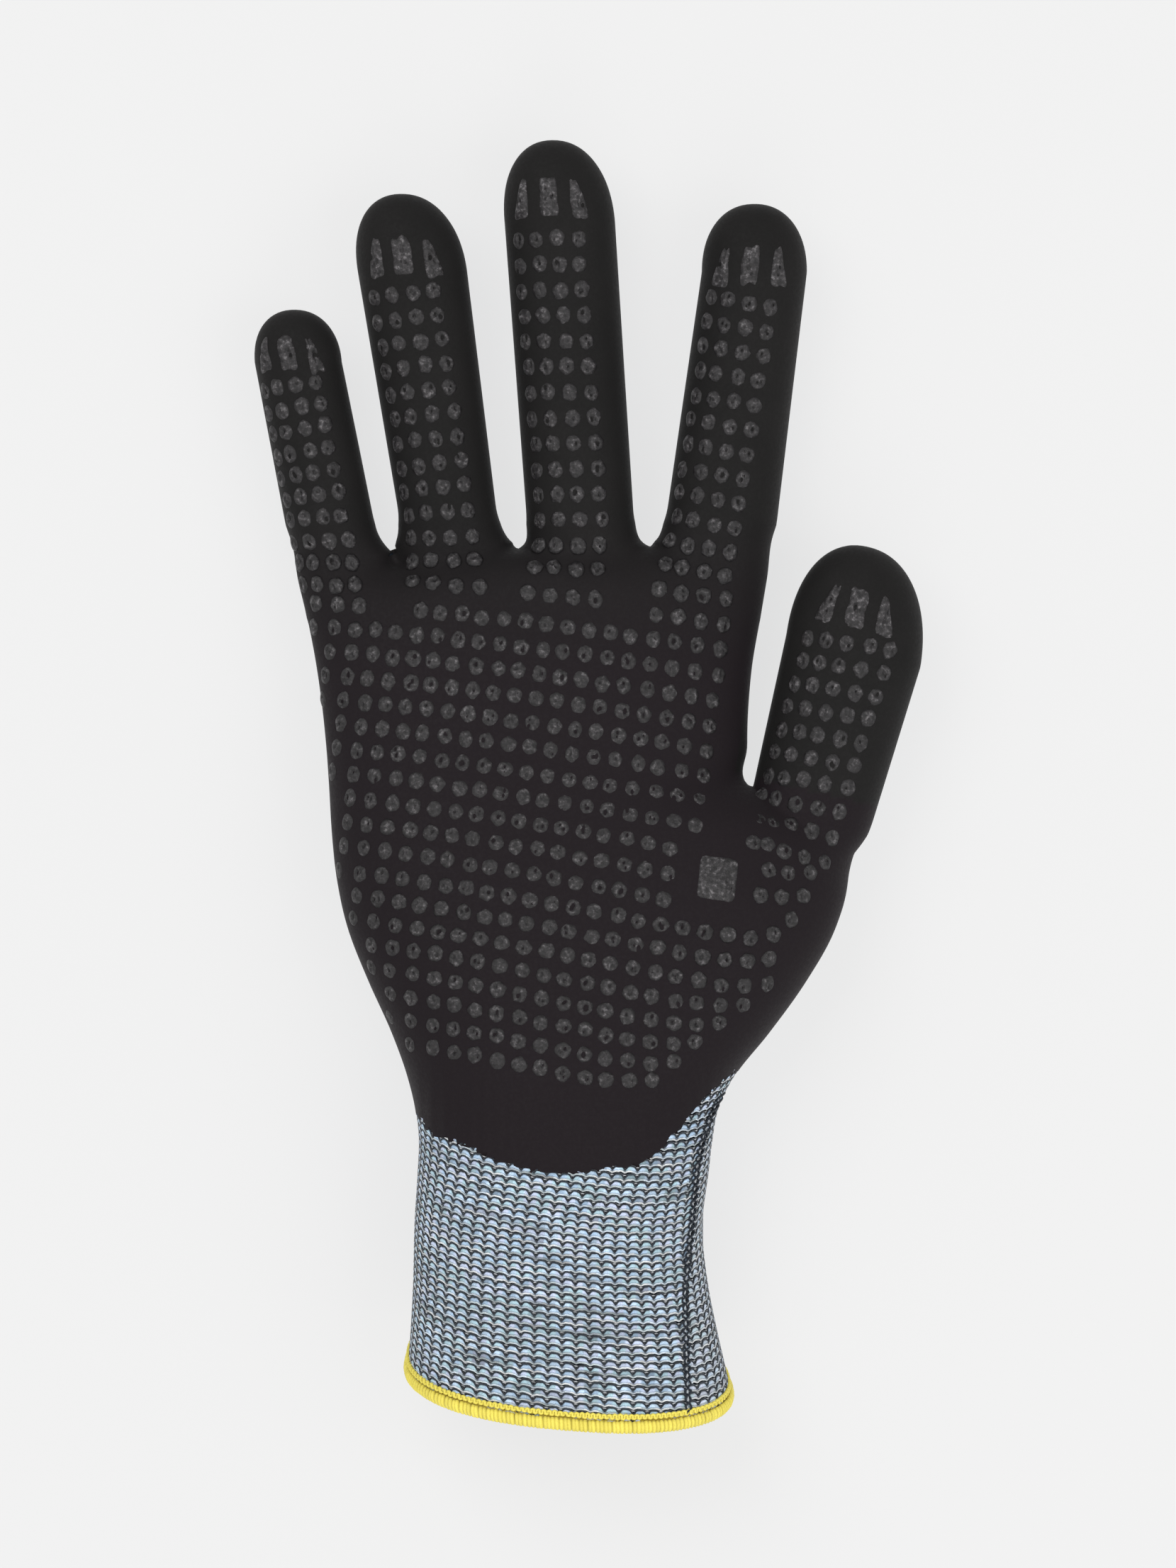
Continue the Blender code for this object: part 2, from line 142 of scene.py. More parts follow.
# The same for what fills it, as a closed outline
HEM_CORE = (
    (2.1, 0.5), (0.9, 0.55), (0.0, 0.6), (-0.5, 0.4), (-0.6, 0.0), (-0.5, -0.4), (0.0, -0.6), (2.1, -0.55),
    (2.25, 0.0),
)
HEM_YELLOW = np.array((0.93, 0.80, 0.13))
HEM_WRAPS = 216
HEM_LOOPS = 160  # in the chain along its top
HEM_CHAIN = (1.92, 0.34)  # middle of that chain above the edge, and half its height
CHAIN_THREADS = ((0.78, 0.31), (-0.9, 0.28))  # outside and inside: height over the knit, and radius

# The dark yarn on the palm side of the cuff: Y, X
DARK_LINE = np.array((
    (-120.0, 18.4), (-112.0, 18.1), (-95.0, 17.5), (-86.5, 18.2), (-78.0, 19.0), (-71.0, 19.7),
    (-66.0, 20.7), (-61.0, 22.5), (-54.0, 26.2),
))
DARK_SPAN = (-57.0, -118.5)  # Y that it may run over
# Its threads: how far each swings sideways, its phase, height over the knit, radius and colour
DARK_THREADS = (
    (0.5, 0.0, 0.8, 0.2, (0.010, 0.014, 0.022)),
    (0.5, math.pi, 0.8, 0.2, (0.010, 0.014, 0.022)),
    (0.0, 0.0, 0.5, 0.24, (0.62, 0.66, 0.70)),
)

LINING_TURNS = 46  # of elastic yarn inside the cuff
LINING_FIRST = 3.2  # how far above the cuff's edge the first one lies
LINING_PITCH = 1.15
LINING_HEIGHT = -0.62  # over the middle of the knit's thickness
LINING_RADIUS = 0.11
LINING_COLOUR = np.array((0.50, 0.53, 0.56))

CUFF_SLOPE = (-0.083, -0.383)  # how the cuff's edge moves along Y for each unit of X and Z
CUFF_EDGE_Y = -110.9
CUFF_MIDDLE_Z = 20.5
STALL_CUT_Y = 47.5  # where the palm's pieces end and the fingers' start
THUMB_CUT = 5.4  # the same along the thumb
BEND_REACH = 7.5  # of a zone's reach at a knuckle, to both sides of its hinge
ROOT_BEND = 13.0  # the same at a stall's root, from where its pieces start
WRIST_BLEND = (-49.0, -79.0)  # the same at the wrist: Y
BEYOND_ALL = 99.0  # past every tip
FINGER_PARTS = (("mcp", "proximal"), ("pip", "middle"), ("dip", "distal"))  # joints and bodies
THUMB_PARTS = (("base", "proximal"), ("tip", "distal"))

FLOOR_Z = -0.6
FLOOR_REACH = 3000.0
# Area lights: place, size and power, in metres and watts
LIGHTS = {
    "key": ((-0.5, 0.55, 1.25), 0.9, 8.4),
    "fill": ((0.75, -0.25, 1.1), 0.9, 5.0),
    "low": ((0.1, -0.9, 0.7), 0.8, 3.0),
}
SKY = 0.63
FIELD = 0.2965  # width that the camera sees, in metres

# Outline of the hand and cuff: Y, least X, greatest X, least Z, greatest Z
HAND = np.array((
    (60.0, -55.8, 34.0, 0.5, 21.8),
    (46.0, -55.4, 33.6, 0.2, 22.0),
    (36.0, -53.2, 32.5, -0.5, 22.8),
    (22.0, -50.5, 30.2, -1.0, 25.8),
    (8.0, -48.8, 29.4, -1.0, 28.2),
    (0.0, -48.2, 29.7, -1.0, 30.2),
    (-8.0, -47.7, 44.5, -1.0, 32.2),
    (-17.0, -46.7, 48.1, -1.0, 34.2),
    (-26.0, -44.7, 46.1, -1.0, 35.8),
    (-36.0, -40.8, 40.6, -1.0, 37.4),
    (-46.0, -36.3, 33.4, -0.8, 38.4),
    (-54.0, -33.4, 27.0, 0.2, 39.0),
    (-60.0, -31.9, 24.0, 1.3, 39.4),
    (-66.0, -31.2, 22.8, 1.7, 39.8),
    (-72.0, -31.4, 22.1, 1.8, 40.0),
    (-82.0, -32.0, 20.9, 1.8, 40.0),
    (-94.0, -32.3, 22.0, 1.7, 40.2),
    (-103.0, -32.8, 23.8, 1.6, 40.6),
    (-111.0, -33.4, 25.6, 1.5, 41.0),
    (-135.0, -34.6, 28.0, 1.4, 41.4),
))

# Where the palm ends between two stalls: X, Y
WEB = np.array((
    (-62.0, 46.0), (-54.0, 46.0), (-44.0, 42.5), (-36.5, 40.6), (-24.0, 43.6), (-13.0, 44.4),
    (11.0, 44.6), (24.0, 46.0), (31.0, 48.0), (38.0, 47.0),
))

# How the palm side swells and hollows: X, Y, height, reach
SWELLS = (
    (30.0, -24.0, 1.6, 15.0),  # ball of the thumb
    (-34.0, -22.0, 0.9, 16.0),  # heel below the little finger
    (-4.0, 2.0, -1.3, 20.0),  # hollow of the palm
    (-46.0, 34.0, 0.6, 8.0),
    (-24.0, 36.0, 0.7, 8.0),
    (0.0, 37.0, 0.7, 8.0),
    (24.0, 35.0, 0.7, 8.0),
)


@dataclass
class Stall:
    """A finger or thumb of the glove, in its own plane frame: v along it, s across it, z up."""

    name: str
    root: tuple
    turn: float  # degrees
    lean: float  # how far its middle moves across for each unit along
    bend: float  # the same over the whole of its rounded tip
    half_width: tuple  # at its root and at its cap
    half_depth: tuple
    middle_z: float
    rise: float  # of its tip over its root
    cap: float  # where its tip starts to round
    tip: float
    start: float
    columns: int  # of grip dots
    first_column: float  # middle of the leftmost one, along the surface
    first_row: float  # middle of the topmost one
    last_row: float
    row_pitch: float
    row_tilt: float  # how much higher the next column's dot lies
    bars_at: tuple  # middle of the fingertip bars, across and along
    flares: tuple  # how far its left and right sides spread at the root
    flare_from: float  # where they start to, along it
    column_drift: tuple  # how its columns of dots lean, over its own lean, along it and at its root
    column_pitch: float  # their spacing, along the surface

    @property
    def parts(self):
        """Its (joint, body) names, from the palm outwards."""
        labels = THUMB_PARTS if self.name == "thumb" else FINGER_PARTS
        return [(f"{self.name}_{joint}", f"{self.name}_{body}") for joint, body in labels]

    @property
    def cut(self):
        """Where the palm's pieces end and its own start, along it."""
        return THUMB_CUT if self.name == "thumb" else STALL_CUT_Y - self.root[1]

    def local(self, points):
        turn = math.radians(self.turn)
        x, y = points[:, 0] - self.root[0], points[:, 1] - self.root[1]
        s = x * math.cos(turn) + y * math.sin(turn)
        v = -x * math.sin(turn) + y * math.cos(turn)
        return s, v, points[:, 2]

    def world(self, s, v, z):
        turn = math.radians(self.turn)
        x = self.root[0] + s * math.cos(turn) - v * math.sin(turn)
        y = self.root[1] + s * math.sin(turn) + v * math.cos(turn)
        return stack(x, y, z)

    def flare(self, v):
        return np.clip((self.flare_from - v) / FLARE_LENGTH, 0.0, 1.0) ** 2.5

    def beyond(self, v):
        """How far past its cap, as a share of the way to its tip."""
        return np.maximum(0.0, v - self.cap) / (self.tip - self.cap)

    def middle(self, v):
        s = self.lean * np.minimum(v, self.cap) + self.bend * self.beyond(v)
        s = s + (self.flares[1] - self.flares[0]) / 2 * self.flare(v)
        return s, self.middle_z + self.rise * np.maximum(0.0, v / self.tip) ** 2

    def on_top(self, v, arc):
        """The place on its palm side that far along it, and that far round from its middle."""
        half_width, half_depth = self.halves(max(v, self.flare_from))
        turn = min(max(arc / (half_width + COAT_HEIGHT), -1.4), 1.4)
        across = half_width * math.sin(turn)
        if self.flares[0] > 0:
            across += (arc - across) * min(max(-v / ROOT_LENGTH, 0.0), 1.0)
        z = self.middle(v)[1] + half_depth * math.cos(turn)
        return (float(value) for value in self.world(self.lean * min(v, self.cap) + across, v, z))

    def halves(self, v):
        along = np.clip(v / self.cap, 0.0, 1.0)
        taper = 1.0 + 0.02 * np.clip(v, self.start, 0.0)
        width, depth = ((e[0] + (e[1] - e[0]) * along) * taper for e in (self.half_width, self.half_depth))
        return width + (self.flares[0] + self.flares[1]) / 2 * self.flare(v), depth

    def distance(self, points):
        s, v, z = self.local(points)
        middle_s, middle_z = self.middle(v)
        half_width, half_depth = self.halves(v)
        inside = oval_distance(s - middle_s, z - middle_z, half_width, half_depth, SECTION_POWER,
                               self.beyond(v), self.tip - self.cap)
        return np.maximum(inside, self.start - v)


STALLS = (
    Stall("little", (-48.9, 50.0), 0.0, -0.195, -0.7, (7.7, 7.5), (7.3, 6.5), 11.0, 3.0, 30.5, 39.7, -16.0,
          4, -8.9, 25.6, -12.5, 4.13, 0.5, (-2.0, 32.0), (0.0, 3.4), 2.0, (-0.01, 0.0), 3.9),
    Stall("ring", (-26.3, 50.0), 0.0, -0.145, -2.0, (8.5, 9.6), (8.2, 7.6), 11.6, 4.0, 48.0, 61.5, -16.0,
          4, -8.8, 42.9, -12.5, 4.57, 0.4, (-1.8, 50.2), (2.3, 2.8), 4.0, (-0.013, 0.04), 4.2),
    Stall("middle", (-1.4, 50.0), 0.0, -0.069, -1.3, (9.4, 9.7), (8.5, 7.8), 11.8, 4.5, 57.0, 71.6, -16.0,
          4, -9.2, 53.4, -14.5, 4.81, 0.06, (-2.2, 61.2), (1.8, 2.8), 3.0, (-0.016, 0.2), 4.2),
    Stall("index", (25.2, 50.0), 0.0, 0.132, 0.0, (9.8, 9.2), (8.6, 7.8), 11.6, 4.0, 47.5, 59.6, -16.0,
          4, -8.6, 41.9, -12.5, 4.62, -0.65, (-1.0, 48.4), (2.3, 0.0), 4.0, (0.035, 0.03), 4.2),
    Stall("thumb", (41.8, -6.0), -14.0, 0.012, -1.9, (10.9, 12.3), (9.6, 9.2), 15.0, 2.0, 33.0, 51.9, -24.0,
          5, -10.1, 33.6, -21.5, 4.52, 0.3, (-1.6, 40.6), (0.0, -0.9), 4.0, (0.053, 0.0), 4.2),
)


# ---------------------------------------------------------------- the glove's shape

def stack(*columns):
    """Points from their coordinates, any of which may be the same for all."""
    return np.stack(np.broadcast_arrays(*columns), axis=-1)


def unit(vectors):
    return vectors / np.maximum(np.linalg.norm(vectors, axis=-1, keepdims=True), 1e-9)


def oval_distance(across, up, half_width, half_depth, power, beyond=0.0, length=1.0):
    """About how far points lie outside a squared oval whose end is rounded over a length."""
    a = np.abs(across) / half_width
    b = np.abs(up) / half_depth
    total = np.maximum(a**power + b**power + beyond**power, 1e-4)
    reach = total ** (1 / power)
    rate = total ** (1 / power - 1)
    slope = np.sqrt((a ** (power - 1) / half_width) ** 2 + (b ** (power - 1) / half_depth) ** 2
                    + (beyond ** (power - 1) / length) ** 2)
    return (reach - 1.0) / np.maximum(slope * rate, 0.012)


def smooth_row(rows, step=1.0):
    """Rows of an outline, in order of their first value, resampled along a smooth curve."""
    rows = rows[np.argsort(rows[:, 0])]
    at = rows[:, 0]
    slope = np.gradient(rows[:, 1:], at, axis=0)
    wanted = np.arange(at[0], at[-1], step)
    index = np.clip(np.searchsorted(at, wanted, side="right") - 1, 0, len(at) - 2)
    span = (at[index + 1] - at[index])[:, None]
    share = (wanted - at[index])[:, None] / span
    values = ((1 + 2 * share) * (1 - share) ** 2 * rows[index, 1:]
              + share * (1 - share) ** 2 * span * slope[index]
              + share**2 * (3 - 2 * share) * rows[index + 1, 1:]
              + share**2 * (share - 1) * span * slope[index + 1])
    return np.column_stack([wanted, values])


HAND_CURVE = smooth_row(HAND)
WEB_CURVE = smooth_row(WEB)
WRIST_CURVE = smooth_row(WRIST_EDGE)


def hand_section(y):
    """(middle X, middle Z, half width, half depth) of the hand's tube at each Y."""
    left, right, low, high = (np.interp(y, HAND_CURVE[:, 0], HAND_CURVE[:, k]) for k in (1, 2, 3, 4))
    return (left + right) / 2, (low + high) / 2, (right - left) / 2, (high - low) / 2


def smooth_min(one, two, width):
    share = np.clip(0.5 + 0.5 * (two - one) / width, 0.0, 1.0)
    return two + (one - two) * share - width * share * (1.0 - share)


def smooth_max(one, two, width):
    return -smooth_min(-one, -two, width)


def hand_distance(points):
    """How far points lie outside the hand's tube."""
    x, y, z = points.T
    middle_x, middle_z, half_width, half_depth = hand_section(y)
    tube = oval_distance(x - middle_x, z - middle_z, half_width, half_depth, HAND_POWER)
    upper = np.clip((z - middle_z) / half_depth, 0.0, 1.0)
    for swell_x, swell_y, height, reach in SWELLS:
        away = ((x - swell_x) ** 2 + (y - swell_y) ** 2) / reach**2
        tube = tube - height * upper * np.exp(-away)
    end = y - np.interp(x, WEB_CURVE[:, 0], WEB_CURVE[:, 1])
    tube = smooth_max(tube, end, WEB_ROUND)
    return smooth_max(tube, -z, FLOOR_ROUND)


def distance(points):
    """Signed distance to the middle of the knit, positive outside."""
    stalls = STALLS[0].distance(points)
    for stall in STALLS[1:]:
        stalls = smooth_min(stalls, stall.distance(points), STALL_JOIN)
    return smooth_min(hand_distance(points), stalls, STALL_BLEND)


def gradient(points, step=0.05):
    made = np.empty_like(points)
    for axis in range(3):
        shift = np.zeros(3)
        shift[axis] = step
        made[:, axis] = (distance(points + shift) - distance(points - shift)) / (2 * step)
    return made


def laid(points, height, rounds=3):
    """The points moved to that height over the knit, and the directions that face out there."""
    points = points.copy()
    for _ in range(rounds):
        slope = gradient(points)
        size = np.maximum((slope**2).sum(axis=1), 0.2)
        move = (distance(points) - height) / size
        points -= np.clip(move, -2.0, 2.0)[:, None] * slope
    slope = gradient(points)
    return points, unit(slope)


def cuff_line(points):
    """How far points lie above the plane of the cuff's edge, along Y."""
    x, y, z = points.T
    return y - CUFF_EDGE_Y - CUFF_SLOPE[0] * x - CUFF_SLOPE[1] * (z - CUFF_MIDDLE_Z)


def wander(points, scale, seed):
    """A smooth random value of about -1 to 1 at each point, from a few crossed waves."""
    waves = np.random.default_rng(seed)
    total = np.zeros(len(points))
    for _ in range(6):
        direction = waves.normal(size=3)
        direction *= waves.uniform(0.6, 1.6) / np.linalg.norm(direction) / scale
        total += np.sin(points @ direction * 2 * math.pi + waves.uniform(0, 6.3))
    return total / 3.0


def coated(points):
    """How far inside the coating's edge points lie, along the surface; negative where the knit is bare."""
    x, y, z = points.T
    wrist = (y - np.interp(x, WRIST_CURVE[:, 0], WRIST_CURVE[:, 1])) * 0.85
    side = (z - np.interp(y, *SIDE_EDGE.T)) * 1.2
    for stall in STALLS:
        s, v, _ = stall.local(points)
        middle_s, middle_z = stall.middle(v)
        half_width, half_depth = stall.halves(v)
        here = (np.abs(s - middle_s) < half_width + 3.0) & (v > stall.start * 0.15)
        edge = middle_z - half_depth * (0.25 + 1.0 * np.clip((v - stall.tip + 9.0) / 5.0, 0, 1) ** 2)
        side = np.where(here, (z - edge) * 1.2, side)
    return np.minimum(wrist, side) + 0.35 * wander(points, 5.0, 3) + 0.4 * wander(points, 1.5, 4)


# ---------------------------------------------------------------- meshes

def new_object(name, points, faces, material, normals=None, attributes=()):
    """A mesh object from millimetre points, and from faces as rows of corner numbers."""
    mesh = bpy.data.meshes.new(name)
    mesh.from_pydata((np.asarray(points) * MM).tolist(), [], [tuple(f) for f in faces])
    mesh.update()
    mesh.shade_smooth()
    for label, values in attributes:
        layer = mesh.attributes.new(label, "FLOAT_COLOR" if values.ndim == 2 else "FLOAT", "POINT")
        flat = values.astype(np.float32).ravel()
        layer.data.foreach_set("color" if values.ndim == 2 else "value", flat)
    if normals is not None:
        mesh.normals_split_custom_set_from_vertices(normals.tolist())
    mesh.materials.append(material)
    made = bpy.data.objects.new(name, mesh)
    bpy.context.scene.collection.objects.link(made)
    return made


def tube_faces(base, rings, sides):
    """Faces of a tube of rings of points, numbered from base on: its sides and two ends."""
    index = base + np.arange(rings * sides).reshape(rings, sides)
    after = np.roll(index, -1, axis=1)
    quads = np.stack([index[:-1], after[:-1], after[1:], index[1:]], axis=-1).reshape(-1, 4)
    return quads.tolist() + [index[0][::-1].tolist(), index[-1].tolist()]


def rough_hull():
    """A closed quad mesh of about the glove's outside, to be moved onto its real surface."""
    turns = np.linspace(0, 2 * math.pi, HULL_SIDES, endpoint=False)
    rings = []
    for y in np.linspace(*HULL_SPAN):
        middle_x, middle_z, half_width, half_depth = hand_section(y)
        rings.append(stack(middle_x + half_width * np.cos(turns), y, middle_z + half_depth * np.sin(turns)))
    faces = tube_faces(0, len(rings), HULL_SIDES)
    for stall in STALLS:
        faces += tube_faces(len(rings) * HULL_SIDES, HULL_RINGS, HULL_SIDES)
        for v in np.linspace(stall.start + 2, stall.tip - 0.5, HULL_RINGS):
            s, z = stall.middle(v)
            half_width, half_depth = stall.halves(v)
            shrink = max(0.05, 1 - stall.beyond(v) ** SECTION_POWER) ** (1 / SECTION_POWER)
            rings.append(stall.world(s + half_width * shrink * np.cos(turns), v,
                                     z + half_depth * shrink * np.sin(turns)))
    material = bpy.data.materials.new("hull")
    hull = new_object("hull", np.concatenate(rings), faces, material)
    remesh = hull.modifiers.new("Remesh", "REMESH")
    remesh.mode = "VOXEL"
    remesh.voxel_size = VOXEL * MM
    mesh = hull.evaluated_get(bpy.context.evaluated_depsgraph_get()).to_mesh()
    points, faces = np.empty(len(mesh.vertices) * 3), np.empty(len(mesh.polygons) * 4, int)
    mesh.vertices.foreach_get("co", points)
    mesh.polygons.foreach_get("vertices", faces)
    bpy.data.objects.remove(hull)
    bpy.data.materials.remove(material)
    return points.reshape(-1, 3) / MM, faces.reshape(-1, 4)


def edges_of(faces):
    return np.concatenate([faces[:, [k, (k + 1) % 4]] for k in range(4)])


def evened(points, faces, rounds):
    """The points, each drawn towards the middle of its neighbours, back on the surface."""
    ends = edges_of(faces)
    ends = np.concatenate([ends, ends[:, ::-1]])
    count = np.bincount(ends[:, 0], minlength=len(points))[:, None]
    for turn in range(rounds):
        total = stack(*(np.bincount(ends[:, 0], points[ends[:, 1], k], len(points)) for k in range(3)))
        points = points + 0.6 * (total / np.maximum(count, 1) - points)
        if turn % 2 == 1:
            points, _ = laid(points, 0.0, rounds=1)
    return laid(points, 0.0, rounds=2)[0]


def shell(name, points, normals, faces, height, thickness, material, attributes=()):
    """A closed skin over some of the surface's faces, at a height for each point."""
    used = np.unique(faces)
    count = len(used)
    number = np.full(len(points), -1)
    number[used] = np.arange(count)
    faces = number[faces]
    points, normals, height = points[used], normals[used], height[used]
    outer = points + normals * height[:, None]
    inner = points + normals * (height - thickness)[:, None]
    edges = edges_of(faces)
    _, index, uses = np.unique(np.sort(edges, axis=1), axis=0, return_index=True, return_counts=True)
    here, there = edges[index[uses == 1]].T
    every = np.concatenate([faces, faces[:, ::-1] + count, stack(there, here, here + count, there + count)])
    both = [(label, np.concatenate([values[used], values[used]])) for label, values in attributes]
    facing = np.concatenate([normals, -normals])
    return new_object(name, np.concatenate([outer, inner]), every, material, facing, both)


# ---------------------------------------------------------------- materials

class Nodes:
    """A material's node tree, built by a few short calls."""

    def __init__(self, name):
        self.material = bpy.data.materials.new(name)
        self.material.use_nodes = True
        self.tree = self.material.node_tree

    def feed(self, socket, value):
        """Links a socket to another one's output, or sets its value."""
        if isinstance(value, bpy.types.NodeSocket):
            self.tree.links.new(value, socket)
        else:
            socket.default_value = value

    def add(self, kind, inputs=(), **settings):
        node = self.tree.nodes.new(kind)
        for key, value in settings.items():
            setattr(node, key, value)
        for key, value in inputs:
            self.feed(node.inputs[key], value)
        return node

    def set(self, **values):
        for key, value in values.items():
            self.feed(self.tree.nodes["Principled BSDF"].inputs[key.replace("_", " ")], value)
        return self.material

    def noise(self, scale, detail=3.0, roughness=0.6):
        place = self.add("ShaderNodeTexCoord").outputs["Object"]
        inputs = [("Vector", place), ("Scale", scale), ("Detail", detail), ("Roughness", roughness)]
        return self.add("ShaderNodeTexNoise", inputs).outputs["Fac"]

    def ramp(self, value, *stops):
        """Colours between stops of position, red, green and blue."""
        node = self.add("ShaderNodeValToRGB", [("Fac", value)])
        elements = node.color_ramp.elements
        elements[0].position, elements[1].position = stops[0][0], stops[-1][0]
        for stop in stops[1:-1]:
            elements.new(stop[0])
        for element, stop in zip(elements, stops):
            element.color = (*stop[1:], 1)
        return node.outputs["Color"]

    def map_range(self, value, low, high, to_low=0.0, to_high=1.0):
        inputs = [("Value", value), ("From Min", low), ("From Max", high), ("To Min", to_low),
                  ("To Max", to_high)]
        return self.add("ShaderNodeMapRange", inputs).outputs["Result"]

    def maths(self, operation, one, two=0.0):
        return self.add("ShaderNodeMath", [(0, one), (1, two)], operation=operation).outputs[0]

    def mix(self, share, one, two):
        return self.add("ShaderNodeMix", [(0, share), (6, one), (7, two)], data_type="RGBA").outputs[2]

    def attribute(self, name, output="Color"):
        return self.add("ShaderNodeAttribute", attribute_name=name).outputs[output]

    def bump(self, height, strength, depth, below=None):
        inputs = [("Height", height), ("Strength", strength), ("Distance", depth)]
        if below is not None:
            inputs.append(("Normal", below))
        return self.add("ShaderNodeBump", inputs).outputs["Normal"]


def coating_material():
    """Matt foam nitrile: near black, finely cellular, a little purple on the hand."""
    made = Nodes("foam_nitrile")
    fine = made.noise(5200.0, 2.0)
    cells = made.noise(1500.0, 4.0, 0.65)
    cloudy = made.noise(70.0, 4.0)
    colour = made.ramp(cloudy, (0.3, 0.0072, 0.0068, 0.0066), (0.75, 0.0104, 0.0096, 0.0094))
    colour = made.mix(made.attribute("Hand", "Fac"), colour, (0.0098, 0.0066, 0.0084, 1))
    lighter = made.map_range(cells, 0.60, 0.85, 0.0, 0.35)
    colour = made.mix(lighter, colour, (0.026, 0.0225, 0.0245, 1))
    ribs = made.maths("SINE", made.maths("MULTIPLY", made.attribute("Rib", "Fac"), 2 * math.pi))
    ribs = made.maths("MULTIPLY", ribs, made.attribute("Wrist", "Fac"))
    normal = made.bump(ribs, 0.35, 0.00012)
    normal = made.bump(fine, 0.3, 0.00006, normal)
    normal = made.bump(cells, 0.4, 0.00010, normal)
    return made.set(Base_Color=colour, Roughness=made.map_range(cells, 0.3, 0.7, 0.6, 0.8), Normal=normal,
                    Specular_IOR_Level=0.14, Sheen_Weight=0.03, Sheen_Roughness=0.5)


def grip_material():
    """The printed nitrile of dots, bars and patch: greyer and glossier, streaked and pitted, its brightest
    streaks painted highlight flecks.
    """
    made = Nodes("grip_nitrile")
    grain = made.noise(2600.0, 4.0, 0.7)
    streaks_and_glints = made.noise(1150.0, 5.0, 0.68)
    # mottled tone of the print, whose brightest stop paints highlight flecks on it
    colour = made.ramp(streaks_and_glints, (0.40, 0.0075, 0.0066, 0.0072), (0.48, 0.020, 0.018, 0.019),
                       (0.56, 0.038, 0.035, 0.037), (0.67, 0.155, 0.146, 0.151))
    colour = made.mix(made.attribute("Crater", "Fac"), colour, (0.006, 0.005, 0.0056, 1))
    normal = made.bump(grain, 0.6, 0.00014, made.bump(streaks_and_glints, 0.8, 0.0003))
    return made.set(Base_Color=colour, Roughness=made.map_range(grain, 0.3, 0.75, 0.3, 0.62), Normal=normal,
                    Specular_IOR_Level=0.4)


def yarn_material(name, sheen):
    """Spun yarn whose colour comes from its vertices, with fine fibres in it."""
    made = Nodes(name)
    fibres = made.noise(7000.0, 2.0)
    colour = made.mix(made.map_range(fibres, 0.34, 0.5, 0.5, 0.0), made.attribute("Tint"),
                      (0.03, 0.045, 0.065, 1))
    return made.set(Base_Color=colour, Normal=made.bump(fibres, 0.6, 0.00010), Roughness=0.7,
                    Specular_IOR_Level=0.35, Sheen_Weight=sheen, Sheen_Roughness=0.4)


def thread_material():
    """Polyester sewing thread: even in colour, softly shining."""
    made = Nodes("overlock_thread")
    fibres = made.noise(5000.0, 2.0)
    colour = made.mix(made.map_range(fibres, 0.3, 0.6, 0.25, 0.0), made.attribute("Tint"),
                      (0.34, 0.26, 0.02, 1))
    return made.set(Base_Color=colour, Normal=made.bump(fibres, 0.3, 0.00006), Roughness=0.6,
                    Specular_IOR_Level=0.3, Sheen_Weight=0.1)


def base_material():
    """The shadowed inner face of the knit, seen between its yarns."""
    made = Nodes("knit_ground")
    tone = made.noise(1800.0, 3.0)
    colour = made.ramp(tone, (0.35, 0.007, 0.011, 0.018), (0.7, 0.026, 0.038, 0.056))
    return made.set(Base_Color=colour, Roughness=0.9, Normal=made.bump(tone, 0.4, 0.0001),
                    Specular_IOR_Level=0.1)


# ---------------------------------------------------------------- zones: what each piece rides on

@dataclass
class Zone:
    """A stretch of the glove at one joint."""

    name: str
    parent: str
    child: str
    fold: str  # the CAD node there
    blend: tuple  # its reach around the joint, where it starts and ends: Y, or along its stall
    stall: Stall = None
    cuts: tuple = ()  # where it starts and ends, along its stall

    def bind(self, piece, slot):
        """Bakes a piece's placement into its mesh and returns it; its slot is not used."""
        if self.stall:
            start, end = (self.stall.world(0.0, v, 15.0) * MM for v in self.blend)
        else:
            start, end = (stack(-5.0, y, CUFF_MIDDLE_Z) * MM for y in self.blend)
        tuple(start)
        tuple(end)
        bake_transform(piece)
        return piece


def all_zones():
    """The hand and cuff, then each stall's stretches from the palm outwards."""
    joints = {joint["name"]: joint["pos_m"] for joint in frame["joints"]}
    made = [Zone("palm", "palm", "cuff", "wrist_fold", WRIST_BLEND)]
    for stall in STALLS:
        hinges = [float(stall.local(np.array([joints[name]]) / MM)[1][0]) for name, _ in stall.parts]
        cuts = [stall.cut] + [(a + b) / 2 + 0.3 for a, b in zip(hinges, hinges[1:])] + [BEYOND_ALL]
        parent = "palm"
        for index, (hinge, (joint, child)) in enumerate(zip(hinges, stall.parts)):
            low = max(cuts[index], hinge - BEND_REACH)
            high = min(cuts[index + 1], hinge + BEND_REACH if index else stall.cut + ROOT_BEND)
            cut = (cuts[index], cuts[index + 1])
            made.append(Zone(child, parent, child, f"{joint}_fold", (low, high), stall, cut))
            parent = child
    return made


ZONES = all_zones()


def stall_of(points):
    """For each point, the number of the stall it lies in beyond the root, or -1 on the hand."""
    near = np.full(len(points), -1)
    best = np.full(len(points), 6.0)
    for number, stall in enumerate(STALLS):
        gap = np.where(stall.local(points)[1] > stall.cut, stall.distance(points), BEYOND_ALL)
        near = np.where(gap < best, number, near)
        best = np.minimum(best, gap)
    return near


def regions(points):
    """For each point, the number of its zone."""
    owner = stall_of(points)
    made = np.zeros(len(points), int)
    for number, zone in enumerate(ZONES[1:], start=1):
        v = zone.stall.local(points)[1]
        here = (owner == STALLS.index(zone.stall)) & (v >= zone.cuts[0]) & (v < zone.cuts[1])
        made[here] = number
    return made


# ---------------------------------------------------------------- coating and ground

